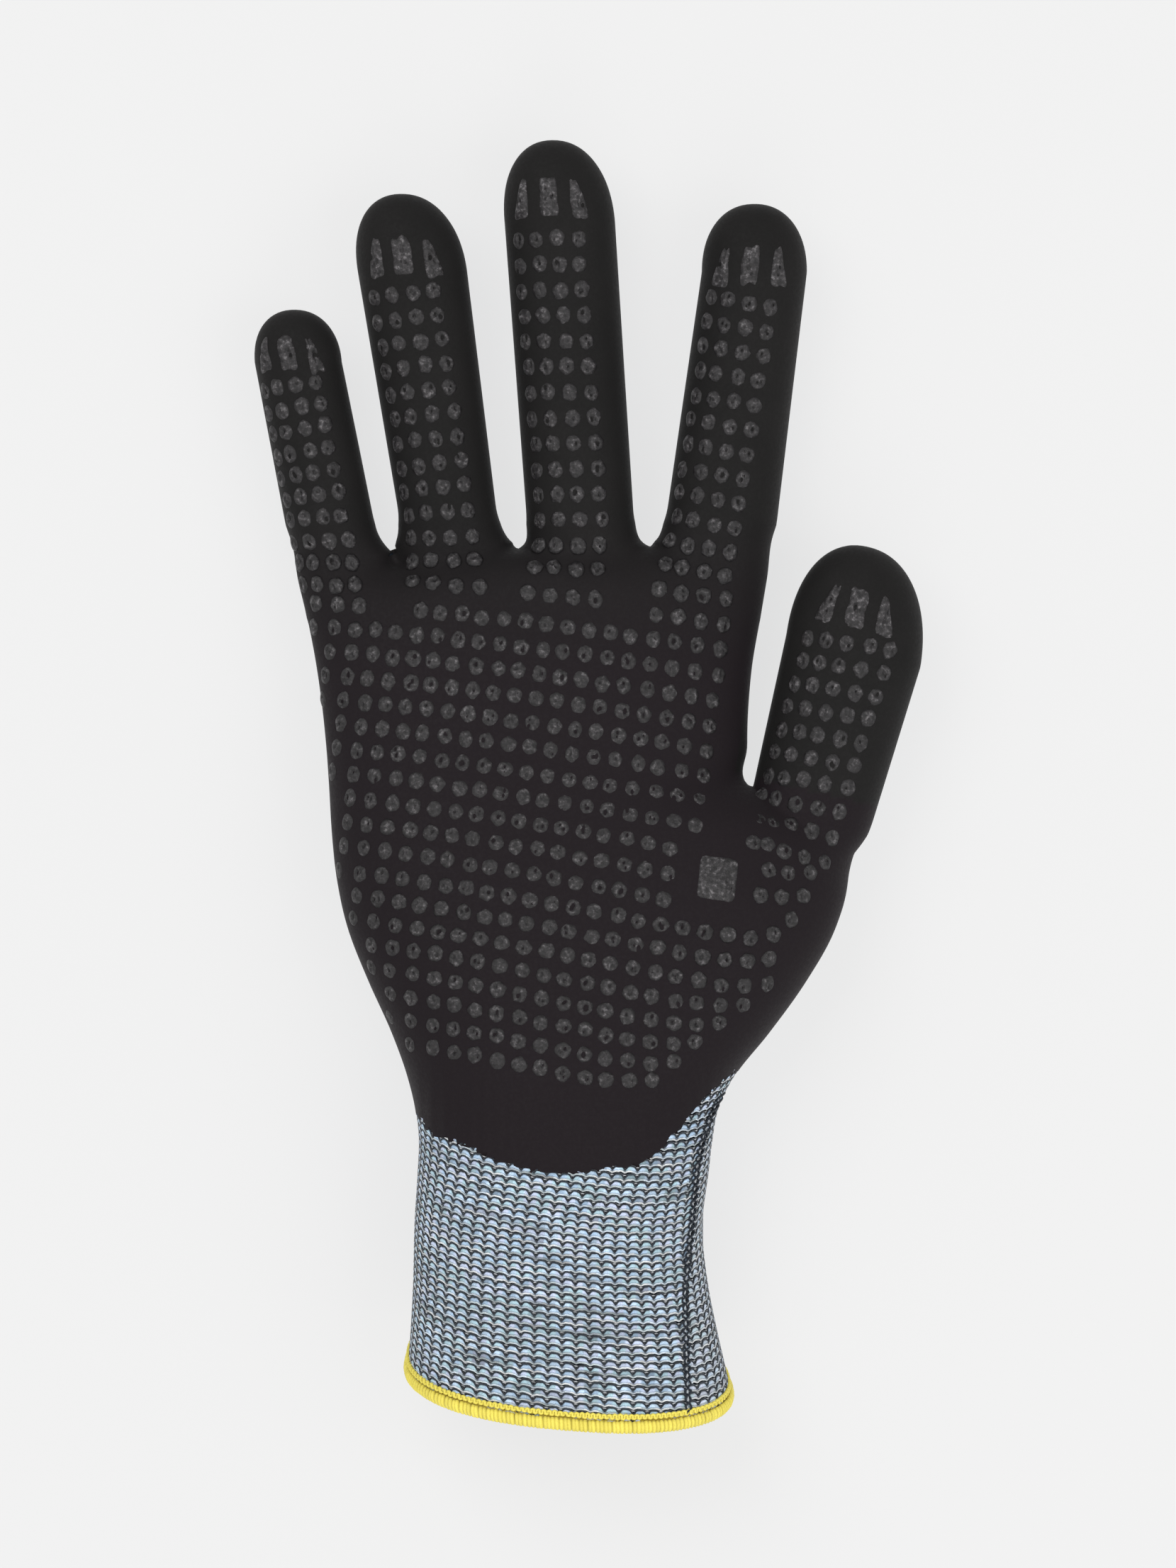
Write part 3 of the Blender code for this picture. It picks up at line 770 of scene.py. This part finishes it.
def build_skin(coating, ground):
    """The coating, and the dark ground under the knit, one piece for each zone."""
    points, faces = rough_hull()
    points = evened(laid(points, 0.0)[0], faces, 10)
    middles = points[faces].mean(axis=1)
    keep = cuff_line(middles) > SKIN_EDGE
    faces, middles = faces[keep], middles[keep]
    normals = laid(points, 0.0, rounds=1)[1]
    soak = np.clip(coated(points) / COAT_SOAK + 0.5, 0.0, 1.0)
    soak = soak * soak * (3 - 2 * soak)
    height = -COAT_SINK + (COAT_HEIGHT + COAT_SINK) * soak
    wrist = np.clip((-50.0 - points[:, 1]) / 8.0, 0.0, 1.0)
    hand = np.clip((52.0 - points[:, 1]) / 30.0, 0.0, 1.0) * (stall_of(points) != len(STALLS) - 1)
    marks = (("Wrist", wrist), ("Hand", hand), ("Rib", points[:, 0] / WALE))
    region = regions(middles)
    dipped = coated(middles) > -0.8 * COAT_SOAK
    level = np.full(len(points), -BASE_DEPTH)
    for number, zone in enumerate(ZONES):
        here = region == number
        skin = shell(f"{zone.name}_coating_skin", points, normals, faces[here & dipped], height,
                     COAT_THICK, coating, marks)
        zone.bind(skin, "coating")
        lining = shell(f"{zone.name}_knit_ground", points, normals, faces[here], level, BASE_THICK, ground)
        zone.bind(lining, "knit")
        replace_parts(skin, f"{zone.name}_coating", zone.fold)


# ---------------------------------------------------------------- grip dots, bars and patch

def top_of(x, y):
    """The palm-side height of the knit over each X, Y; NaN outside the glove."""
    found = np.full(len(x), np.nan)
    for level in np.linspace(46.0, 4.0, 85):
        inside = distance(stack(x, y, level)) < 0
        found = np.where(np.isnan(found) & inside, level, found)
    return found


def grid_disc(rings, sides):
    """Points of a unit disc, centre first and outer ring last, and its faces."""
    turns = np.linspace(0, 2 * math.pi, sides, endpoint=False)
    points = [np.zeros((1, 2))]
    faces = []
    for ring in range(1, rings + 1):
        points.append(ring / rings * stack(np.cos(turns), np.sin(turns)))
    for step in range(sides):
        after = (step + 1) % sides
        faces.append((0, 1 + step, 1 + after))
        for ring in range(rings - 1):
            low = 1 + ring * sides
            faces.append((low + step, low + sides + step, low + sides + after, low + after))
    return np.concatenate(points), faces


@dataclass
class Pad:
    """A dot, bar or patch printed on the coating."""

    x: float
    y: float
    turn: float  # degrees
    size: tuple  # half its width and length
    height: float
    rings: int
    sides: int
    squareness: float = 2.0
    narrowing: tuple = (0.0, 0.0)  # how far its left and right edges draw in towards its upper end
    ragged: float = 0.04
    craters: tuple = ()  # (across, along, radius, depth)
    fade: float = 0.85  # how dark its rim is
    dim: float = 0.0  # how dark its whole top is
    z: float = math.nan  # about its height, where it lies beside the hand

    def laid_out(self, centre, normal):
        """Its points on the plane that touches the coating there, their crown and shade, and faces."""
        flat, faces = grid_disc(self.rings, self.sides)
        turn = np.arctan2(flat[:, 1], flat[:, 0])
        radius = np.linalg.norm(flat, axis=1)
        outline = np.abs(np.cos(turn)) ** self.squareness + np.abs(np.sin(turn)) ** self.squareness
        outline = outline ** (-1 / self.squareness)
        for wave in range(2, 7):
            phase, amount = random.uniform(0, 2 * math.pi), random.uniform(0, self.ragged)
            outline = outline * (1 + amount * np.cos(wave * turn + phase))
        across = radius * outline * np.cos(turn)
        along = radius * outline * np.sin(turn)
        upper = np.clip((along + 1) / 2, 0.0, 1.0)
        left = -1.0 + 2.0 * self.narrowing[0] * upper
        right = 1.0 - 2.0 * self.narrowing[1] * upper
        across = (left + (right - left) * (across + 1) / 2) * self.size[0]
        along = along * self.size[1]
        crown = self.height * np.clip(1 - radius**2.6, 0.0, 1.0) ** 0.8
        shade = np.full(len(flat), self.dim)
        for crater_x, crater_y, crater_radius, depth in self.craters:
            away = np.hypot(across - crater_x, (along - crater_y) * 0.6) / crater_radius
            crown = crown - depth * np.exp(-(away**4)) * (radius < 0.95)
            shade = np.maximum(shade, np.exp(-(away**2)) * depth / 0.45)
        shade = np.maximum(shade, np.clip((radius - 0.52) / 0.48, 0.0, 1.0) * self.fade)
        along_turn = math.radians(self.turn)
        forward = np.array([-math.sin(along_turn), math.cos(along_turn), 0.0])
        forward = unit(forward - normal * (normal @ forward))
        sideways = np.cross(forward, normal)
        place = centre + across[:, None] * sideways + along[:, None] * forward
        return place, crown, shade, faces


def craters_in(size, count):
    made = []
    for _ in range(count):
        x = random.uniform(-0.42, 0.42) * size[0]
        y = random.uniform(-0.42, 0.42) * size[1]
        made.append((x, y, random.uniform(0.16, 0.42), random.uniform(0.15, 0.45)))
    return tuple(made)


def new_dot(x, y, turn, z=math.nan):
    heel = min(max((5.0 - y) / 35.0, 0.0), 1.0)
    size = tuple((one + (other - one) * heel) * random.uniform(0.94, 1.06)
                 for one, other in zip(DOT_SIZE, HEEL_DOT_SIZE))
    count = int(random.choice((1, 1, 2, 2, 3)))
    return Pad(x + random.normal(0, 0.12), y + random.normal(0, 0.12), turn, size,
               DOT_HEIGHT * random.uniform(0.85, 1.15), 7, 20, craters=craters_in(size, count),
               dim=random.uniform(0.0, 0.45), z=z)


def last_column(row):
    """Where the palm's grid ends towards the thumb: it leaves the crotch and the patch bare."""
    if row >= 0:
        return 7
    return 6 if row > -4 else min(GRID_COLUMNS[1], 17 + row)


def palm_dots():
    made = []
    for row in range(GRID_ROWS[0], GRID_ROWS[1] + 1):
        for column in range(GRID_STARTS.get(row, GRID_COLUMNS[0]), last_column(row) + 1):
            x, y = (start + across * column + up * row + bow * column**2 for start, across, up, bow
                    in zip(GRID_ORIGIN, GRID_COLUMN, GRID_ROW, GRID_BOW))
            x += GRID_HEEL[0] * max(0, -5 - row) ** 2
            y += GRID_FAN * column * row + GRID_HEEL[1] * max(0, -4 - row)
            if row < -3:
                y += GRID_END[0] * math.exp((column - last_column(row)) / GRID_END[1])
            if column not in GRID_BARE.get(row, ()):
                made.append(new_dot(x, y, DOT_TURN))
    return made


def stall_dots(stall):
    """Rows of dots down a stall, which shorten where the thumb runs into the palm."""
    made = []
    v = stall.first_row
    while v > stall.last_row:
        columns = range(stall.columns)
        tilt = min(stall.row_tilt, float(np.interp(v, (-13.0, 8.0), (-0.35, 0.6))))
        drift, root_drift = stall.column_drift
        first = stall.first_column + drift * (v - stall.first_row) + root_drift * min(v, 0.0)
        heel = [row for row in THUMB_HEEL if v < row[0] and stall.name == "thumb"]
        if heel:
            columns, tilt = range(heel[0][1], 4), HEEL_TILT
            first += heel[0][2]
        for column in columns:
            x, y, z = stall.on_top(v + tilt * (column - 1), first + column * stall.column_pitch)
            made.append(new_dot(x, y, stall.turn - math.degrees(stall.lean), z))
        v -= stall.row_pitch
    return made


def stall_bars(stall):
    """Three bars near the tip, the outer two narrowing to a point that leans inwards."""
    made = []
    small = 0.9 if stall.name == "little" else 1.0
    for place, narrowing in ((-1, (0.6, 0.0)), (0, (0.05, 0.05)), (1, (0.0, 0.6))):
        at = stall.bars_at[1] - 0.4 * abs(place)
        x, y, z = stall.on_top(at, stall.bars_at[0] + BAR_SPACING * small * place)
        size = (BAR_SIZE[0] / 2 * random.uniform(0.92, 1.08) * small, BAR_SIZE[1] / 2 * small)
        made.append(Pad(x, y, stall.turn - math.degrees(stall.lean), size,
                        DOT_HEIGHT, 10, 36, 7.0, narrowing, 0.06, craters_in(size, 4), 0.1, z=z))
    return made


def crotch_patch():
    craters = ((2.0, 0.6, 0.9, 0.3), (2.6, -1.6, 0.6, 0.3), (-1.8, -2.6, 0.7, 0.15), (-0.9, 2.4, 0.8, 0.1))
    return Pad(*PAD_CENTRE, PAD_TURN, (PAD_SIZE[0] / 2, PAD_SIZE[1] / 2), 0.5, 14, 48, 9.0,
               ragged=0.008, craters=craters, fade=0.2)


def lay_grips(name, made, material):
    """One object of printed pads, each a closed cap whose rim reaches a little into the coating."""
    points, heights, shades, faces = [], [], [], []
    base = 0
    for place, crown, shade, pad_faces in made:
        sides = sum(len(face) == 3 for face in pad_faces)
        points += [place, place[-sides:]]
        heights += [COAT_HEIGHT - 0.05 + crown, np.full(sides, COAT_HEIGHT - 0.3)]
        shades += [shade, shade[-sides:]]
        rim = base + len(place) - sides + np.arange(sides)
        after = np.roll(rim, -1)
        faces += [[base + corner for corner in face] for face in pad_faces]
        faces += stack(after, rim, rim + sides, after + sides).tolist()
        faces.append((rim + sides)[::-1].tolist())
        base += len(place) + sides
    points, _ = laid(np.concatenate(points), np.concatenate(heights))
    return new_object(name, points, faces, material, None, (("Crater", np.concatenate(shades)),))


def build_grips(material):
    """All dots and bars, one piece for each zone, and the thumb-crotch patch."""
    pads = palm_dots()
    on_palm = list(pads)
    for stall in STALLS:
        for dot in stall_dots(stall):
            if all(math.hypot(dot.x - pad.x, dot.y - pad.y) > DOT_CLEAR for pad in on_palm):
                pads.append(dot)
    for stall in STALLS:
        pads += stall_bars(stall)
    pads.append(crotch_patch())
    x, y = (np.array([getattr(pad, axis) for pad in pads]) for axis in "xy")
    z = top_of(x, y)
    z = np.where(np.isnan(z), [pad.z for pad in pads], z)
    centres, normals = laid(stack(x, y, np.nan_to_num(z, nan=20.0)), COAT_HEIGHT)
    shown = ~np.isnan(z) & (coated(centres) > DOT_INSET)
    region = regions(centres)
    for number, zone in enumerate(ZONES):
        here = [k for k in np.flatnonzero(shown & (region == number)) if k < len(pads) - 1]
        if here:
            made = [pads[k].laid_out(centres[k], normals[k]) for k in here]
            zone.bind(lay_grips(f"{zone.name}_grip_dots", made, material), "coating")
    patch = lay_grips("thumb_crotch_patch", [pads[-1].laid_out(centres[-1], normals[-1])], material)
    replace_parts(patch, "thumb_crotch_pad")
    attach(patch, "palm")


# ---------------------------------------------------------------- yarns

def yarn_piece(name, slot, material, zone, runs):
    """One piece of round closed tubes. A run is its path, directions out, radius, sides and colour."""
    points, faces, tints = [], [], []
    base = 0
    for path, out, radius, sides, tint in runs:
        count = len(path)
        turns = np.linspace(0, 2 * math.pi, sides, endpoint=False) + math.pi / 2
        tangent = unit(np.gradient(path, axis=0))
        side = unit(np.cross(tangent, out))
        up = np.cross(side, tangent)
        ring = (np.cos(turns)[None, :, None] * side[:, None, :]
                + np.sin(turns)[None, :, None] * up[:, None, :])
        around = path[:, None, :] + ring * np.broadcast_to(radius, count)[:, None, None]
        points.append(around.reshape(-1, 3))
        # painted highlight and shade: every other side of a tube is painted darker, giving lit and shaded
        # lobes along it like fibre strands
        shade = 1.0 - 0.22 * (np.arange(sides) % 2)
        colours = np.broadcast_to(tint, (count, 3))[:, None, :] * shade[None, :, None]
        tints.append(np.column_stack([colours.reshape(-1, 3), np.ones(count * sides)]))
        faces += tube_faces(base, count, sides)
        base += count * sides
    tints = (("Tint", np.concatenate(tints)),)
    return zone.bind(new_object(name, np.concatenate(points), faces, material, None, tints), slot)


@dataclass
class Strand:
    """One of the tubes laid along each course as a wave: the knitted yarns, and among them a near-black tube
    of painted shadow and a thin white thread of painted highlight.
    """

    level: float  # middle of the wave, over the course's middle
    reach: float  # half its height
    height: tuple  # over the knit, at a loop's head and foot
    radius: tuple  # the same
    sides: int
    colours: tuple  # that its loops take by chance


STRANDS = (
    # painted shadow: a near-black tube along the gap above each loop's head, standing in for the shade there
    Strand(0.20, 0.40, (0.46, 0.50), (0.18, 0.20), 4, ((0.008, 0.014, 0.024), (0.016, 0.026, 0.038))),
    Strand(-0.24, 0.34, (0.30, -0.12), (0.40, 0.22), 5,
           ((0.45, 0.62, 0.82), (0.60, 0.78, 0.98), (0.62, 0.71, 0.92), (0.49, 0.70, 0.80))),
    Strand(-0.58, 0.16, (0.42, 0.42), (0.20, 0.17), 4,
           ((0.88, 0.91, 0.92), (0.65, 0.74, 0.77), (0.76, 0.86, 0.95))),
    # painted highlight: a thin near-white thread that shows between the loops' heads, standing in for the
    # glint on the sinker loops
    Strand(0.38, 0.0, (0.1, 0.36), (0.13, 0.16), 3, ((0.95, 0.97, 1.0),)),
)


def knit_tint(strand, points, luck, loop, head):
    """Colours of a strand: chosen for each loop, painted darker towards its foot as shade where it dips into
    the knit, with darker and whiter stretches.
    """
    count = loop[-1] + 1
    colours = np.array(strand.colours)[luck.integers(0, len(strand.colours), count)]
    level, streak = luck.uniform(0.78, 1.12, count), luck.uniform(0.0, 1.0, count)
    # painted shade: each loop darkens towards its foot, where it dips into the knit
    tint = (colours * level[:, None])[loop] * (0.72 + 0.28 * head)[:, None]
    darker = np.clip((np.interp(loop / 4.0, np.arange(count), streak) - 0.65) * 1.6, 0.0, 0.45)
    tint = tint * (1 - darker[:, None])
    x, y, z = points.T
    beyond = (x > dark_line_x(y) + 0.8) & (z > 12) & (y < -52)
    paler = np.where(beyond, 0.3, 0.0)[:, None] * (tint.mean() > 0.1)
    return tint * (1 - paler) + paler * np.array((0.75, 0.77, 0.80))


def ring_points(middle, halves, power, turns):
    cosine, sine = np.cos(turns), np.sin(turns)
    across = middle[0] + halves[0] * np.sign(cosine) * np.abs(cosine) ** (2 / power)
    up = middle[1] + halves[1] * np.sign(sine) * np.abs(sine) ** (2 / power)
    return across, up


def turns_at(share, middle, halves, power):
    """The turns at shares of the way round a section, walked at an even pace."""
    turns = np.linspace(0, 2 * math.pi, 361)
    across, up = ring_points(middle, halves, power, turns)
    travelled = np.concatenate([[0], np.cumsum(np.hypot(np.diff(across), np.diff(up)))])
    return np.interp(share, travelled / travelled[-1], turns)


class Knit:
    """Courses of loops round a tube, kept where the knit shows."""

    def __init__(self, segments, tube):
        self.segments = segments
        self.tube = tube  # 0 for the hand, and from 1 for the stalls
        self.runs = {}

    def course(self, row, wales, place, shift):
        """One course. place(share, rise) gives the points round the tube at a height over the course."""
        luck = np.random.default_rng(row + 1000)
        step = np.arange(wales * self.segments + 1)
        loop = step // self.segments
        share = (step / self.segments + shift) / wales % 1.0
        low, high = place(share, -0.5), place(share, 0.5)
        base, out = laid((low + high) / 2, 0.0)
        settled = np.abs(distance(base)) < 0.3
        up = high - low
        up = unit(up - out * (up * out).sum(axis=1)[:, None])
        keep = settled & (coated(base) < KNIT_UNDER) & (cuff_line(base) > KNIT_EDGE) & self.owns(base)
        region = np.where(keep, regions(base), -1)
        head = 1 - (0.5 - 0.5 * np.cos(step * 2 * math.pi / self.segments)) ** LOOP_NARROWING
        sway = luck.normal(0.0, 0.05, loop[-1] + 2)[loop]
        parts = np.split(step, np.flatnonzero(np.diff(region)) + 1)
        for strand in STRANDS:
            rise = strand.level + strand.reach * (2 * head - 1) + sway
            height, radius = (foot + (top - foot) * head for top, foot in (strand.height, strand.radius))
            points = base + up * rise[:, None] + out * height[:, None]
            tint = knit_tint(strand, points, luck, loop, head)
            for part in parts:
                number = region[part[0]]
                if number >= 0 and len(part) > self.segments // 2:
                    part = step[part[0]:part[-1] + 2]
                    run = (points[part], out[part], radius[part], strand.sides, tint[part])
                    self.runs.setdefault(number, []).append(run)

    def owns(self, points):
        """Whether points are on the tube that this knit goes round, or past its root."""
        gaps = [hand_distance(points)] + [stall.distance(points) for stall in STALLS]
        mine = np.argmin(np.stack(gaps), axis=0) == self.tube
        return mine | (stall_of(points) == self.tube - 1) if self.tube else mine & (stall_of(points) < 0)

    def pieces(self, name, material, number):
        """Makes the yarns that lie in a zone into one or more pieces of it."""
        chosen = self.runs.get(number, [])
        share = math.ceil(sum(len(run[0]) * run[3] for run in chosen) * 2 / MOST_FACES)
        return [yarn_piece(f"{name}_{index + 1}" if share > 1 else name, "knit", material, ZONES[number],
                           chosen[index::share]) for index in range(share)]


def hand_place(y):
    """Points round the hand or cuff, for a course whose plane crosses the cuff's middle at y."""
    tilt = float(np.clip((-18.0 - y) / 42.0, 0.0, 1.0))
    section = hand_section(y)
    middle, halves = section[:2], section[2:]

    def place(share, rise):
        x, z = ring_points(middle, halves, HAND_POWER, turns_at(share, middle, halves, HAND_POWER))
        at = y + rise + tilt * (COURSE_SLOPE[0] * x + COURSE_SLOPE[1] * (z - CUFF_MIDDLE_Z))
        middle_x, middle_z, half_width, half_depth = hand_section(at)
        x = middle_x + (x - middle[0]) * half_width / halves[0]
        z = middle_z + (z - middle[1]) * half_depth / halves[1]
        return stack(x, at, z)

    return place


def stall_place(stall, v):
    def place(share, rise):
        turn = turns_at(share, stall.middle(v), stall.halves(v), SECTION_POWER)
        at = v + rise
        s, z = stall.middle(at)
        half_width, half_depth = stall.halves(at)
        shrink = (1 - np.minimum(stall.beyond(at), 0.97) ** SECTION_POWER) ** (1 / SECTION_POWER)
        across, up = ring_points((0.0, 0.0), (1.0, 1.0), SECTION_POWER, turn)
        return stall.world(s + across * half_width * shrink, at, z + up * half_depth * shrink)

    return place


def build_knit(yarn):
    """The bare knit: cuff and back of the hand, then the back of each stall."""
    palm, cuff = Knit(6, 0), Knit(8, 0)
    for row in range(int((KNIT_TOP - CUFF_EDGE_Y + 12.0) / COURSE)):
        y = KNIT_TOP - row * COURSE
        drift = WALE_DRIFT * max(0.0, KNIT_CHANGE - y) / WALE + random.uniform(-0.03, 0.03)
        knit, wales = (palm, PALM_WALES) if y > KNIT_CHANGE else (cuff, CUFF_WALES)
        knit.course(row, wales, hand_place(y), drift)
    for knit, name, node in ((palm, "palm_back_knit", "palm_liner"), (cuff, "cuff_loops", "cuff_knit")):
        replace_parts(knit.pieces(name, yarn, 0)[0], node)
    for tube, stall in enumerate(STALLS, start=1):
        knit = Knit(6, tube)
        around = 2 * math.pi * math.sqrt((stall.half_width[0] ** 2 + stall.half_depth[0] ** 2) / 2)
        first = stall.start * 0.6
        for row in range(int((stall.tip - 3.0 - first) / COURSE)):
            place = stall_place(stall, first + row * COURSE)
            knit.course(500 + row, round(around / WALE), place, random.uniform(-0.03, 0.03))
        knit.pieces(f"{stall.name}_root_knit", yarn, 0)
        for number, zone in enumerate(ZONES):
            if zone.stall is stall:
                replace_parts(knit.pieces(f"{zone.name}_knit", yarn, number)[0], f"{zone.name}_liner")


# ---------------------------------------------------------------- hem, marker yarn and lining

def edge_loop(count, above, height):
    """Points round the cuff that far above its edge, at a height over the knit, and directions out."""
    section = hand_section(CUFF_EDGE_Y)
    middle, halves = section[:2], section[2:]
    turns = turns_at(np.arange(count) / count, middle, halves, HAND_POWER)
    x, z = ring_points(middle, halves, HAND_POWER, turns)
    y = CUFF_EDGE_Y + above + CUFF_SLOPE[0] * x + CUFF_SLOPE[1] * (z - CUFF_MIDDLE_Z)
    moved, out = laid(stack(x, y, z), height, rounds=2)
    moved[:, 1] = y  # the edge's ends stay level where there is no knit below them
    out[:, 1] = 0.0
    return moved, unit(out)


def closed(rows):
    return np.concatenate([rows, rows[:2]])


def build_hem(material):
    """Overlock thread: close wraps round the raw edge, a looped chain along its top, and a filled core."""
    rings = [edge_loop(HEM_WRAPS, above, height) for above, height in HEM_WRAP]
    runs = []
    for wrap in range(HEM_WRAPS):
        turned = random.uniform(0.35, 0.65)
        path = []
        for step, (loop, _) in enumerate(rings):
            share = turned * (1 - step / len(rings))
            path.append(loop[wrap] * (1 - share) + loop[(wrap + 1) % HEM_WRAPS] * share)
        path[0] = path[0] + np.array((0.0, random.uniform(-0.1, 0.12), 0.0))
        out = np.array([facing[wrap] for _, facing in rings])
        radius = random.uniform(0.46, 0.52)
        runs.append((np.array(path), out, radius, 6, HEM_YELLOW * random.uniform(0.9, 1.04)))
    count = HEM_LOOPS * 8
    turns = np.arange(count) * math.pi / 4
    for height, radius in CHAIN_THREADS:
        loop, facing = edge_loop(count, HEM_CHAIN[0], height + 0.12 * np.cos(turns))
        uneven = 1 + 0.25 * wander(loop, 3.0, 5)
        loop[:, 1] += HEM_CHAIN[1] * uneven * np.sin(turns)
        loop += stack(facing[:, 2], 0.0, -facing[:, 0]) * (0.16 * np.sin(2 * turns))[:, None]
        runs.append((closed(loop), closed(facing), radius, 6, HEM_YELLOW * 0.98))
    hem = yarn_piece("overlock_threads", "overlock", material, ZONES[0], runs)

    core = np.stack([edge_loop(180, above, height)[0] for above, height in HEM_CORE], axis=1)
    index = np.arange(core.size // 3).reshape(core.shape[:2])
    there = np.roll(index, -1, axis=0)
    faces = stack(index, there, np.roll(there, -1, axis=1), np.roll(index, -1, axis=1)).reshape(-1, 4)
    tint = np.tile((0.42, 0.32, 0.03, 1.0), (index.size, 1))
    fill = new_object("overlock_core", core.reshape(-1, 3), faces.tolist(), material, None, (("Tint", tint),))
    ZONES[0].bind(fill, "overlock")
    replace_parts(hem, "overlock_hem")


def dark_line_x(y):
    return np.interp(y, *DARK_LINE.T)


def build_dark_line(material):
    """Two dark threads that cross each other at every course down the cuff, over a white one."""
    runs = []
    y = np.arange(*DARK_SPAN, -COURSE / 10)
    turns = y / COURSE * math.pi
    for reach, phase, level, radius, colour in DARK_THREADS:
        x = dark_line_x(y) + reach * np.sin(turns + phase)
        start = stack(x, y, np.nan_to_num(top_of(x, y), nan=20.0))
        path, out = laid(start, level + 0.3 * reach * np.cos(turns + phase))
        keep = np.append((coated(path) < 0.3) & (cuff_line(path) > 2.0), False)
        first = np.argmax(keep)
        last = first + np.argmin(keep[first:])
        runs.append((path[first:last], out[first:last], radius, 5, colour))
    line = yarn_piece("cuff_dark_yarn", "dark_yarn", material, ZONES[0], runs)
    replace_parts(line, "cuff_yarn_line")


def build_lining(material):
    """Fine elastic yarn wound inside the cuff, seen through its mouth."""
    runs = []
    for turn in range(LINING_TURNS):
        loop, facing = edge_loop(260, LINING_FIRST + turn * LINING_PITCH, LINING_HEIGHT)
        tint = LINING_COLOUR * random.uniform(0.8, 1.1)
        runs.append((closed(loop), closed(facing), LINING_RADIUS, 4, tint))
    lining = yarn_piece("cuff_elastic_yarns", "elastic", material, ZONES[0], runs)
    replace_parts(lining, "cuff_elastic_layer")


# ---------------------------------------------------------------- stage

def build_stage():
    shader = Nodes("studio_floor")
    paint = shader.set(Base_Color=(0.15, 0.15, 0.15, 1.0), Roughness=0.95, Specular_IOR_Level=0.0,
                       Emission_Color=(1.0, 1.0, 1.0, 1.0), Emission_Strength=0.70)
    sides = np.array(((-1, -1), (1, -1), (1, 1), (-1, 1))) * FLOOR_REACH
    corners = stack(sides[:, 0], sides[:, 1], FLOOR_Z)
    new_object("floor", corners, [(0, 1, 2, 3)], paint)

    world = bpy.data.worlds.new("studio")
    bpy.context.scene.world = world
    world.use_nodes = True
    background = world.node_tree.nodes["Background"].inputs
    background["Color"].default_value = (1.0, 1.0, 1.0, 1.0)
    background["Strength"].default_value = SKY

    for name, (place, size, power) in LIGHTS.items():
        light = bpy.data.lights.new(name, "AREA")
        light.size = size
        light.energy = power
        lamp = bpy.data.objects.new(name, light)
        lamp.location = place
        lamp.rotation_euler = (-Vector(place)).to_track_quat("-Z", "Y").to_euler()
        bpy.context.scene.collection.objects.link(lamp)


def build_camera():
    """Straight down on the palm, from far enough that the outline hardly spreads."""
    lens, film = 200.0, 36.0
    camera = bpy.data.cameras.new("camera")
    camera.lens = lens
    camera.sensor_width = film
    camera.clip_end = 20.0
    view = bpy.data.objects.new("camera", camera)
    view.location = (0.0, 0.0007, 0.015 + FIELD * lens / film)
    bpy.context.scene.collection.objects.link(view)
    bpy.context.scene.camera = view
    bpy.context.scene.view_settings.view_transform = "Standard"


build_camera()
build_stage()
build_skin(coating_material(), base_material())
build_grips(grip_material())
build_knit(yarn_material("marl_yarn", sheen=0.4))
build_hem(thread_material())
build_dark_line(yarn_material("dark_yarn", sheen=0.05))
build_lining(yarn_material("elastic_yarn", sheen=0.1))
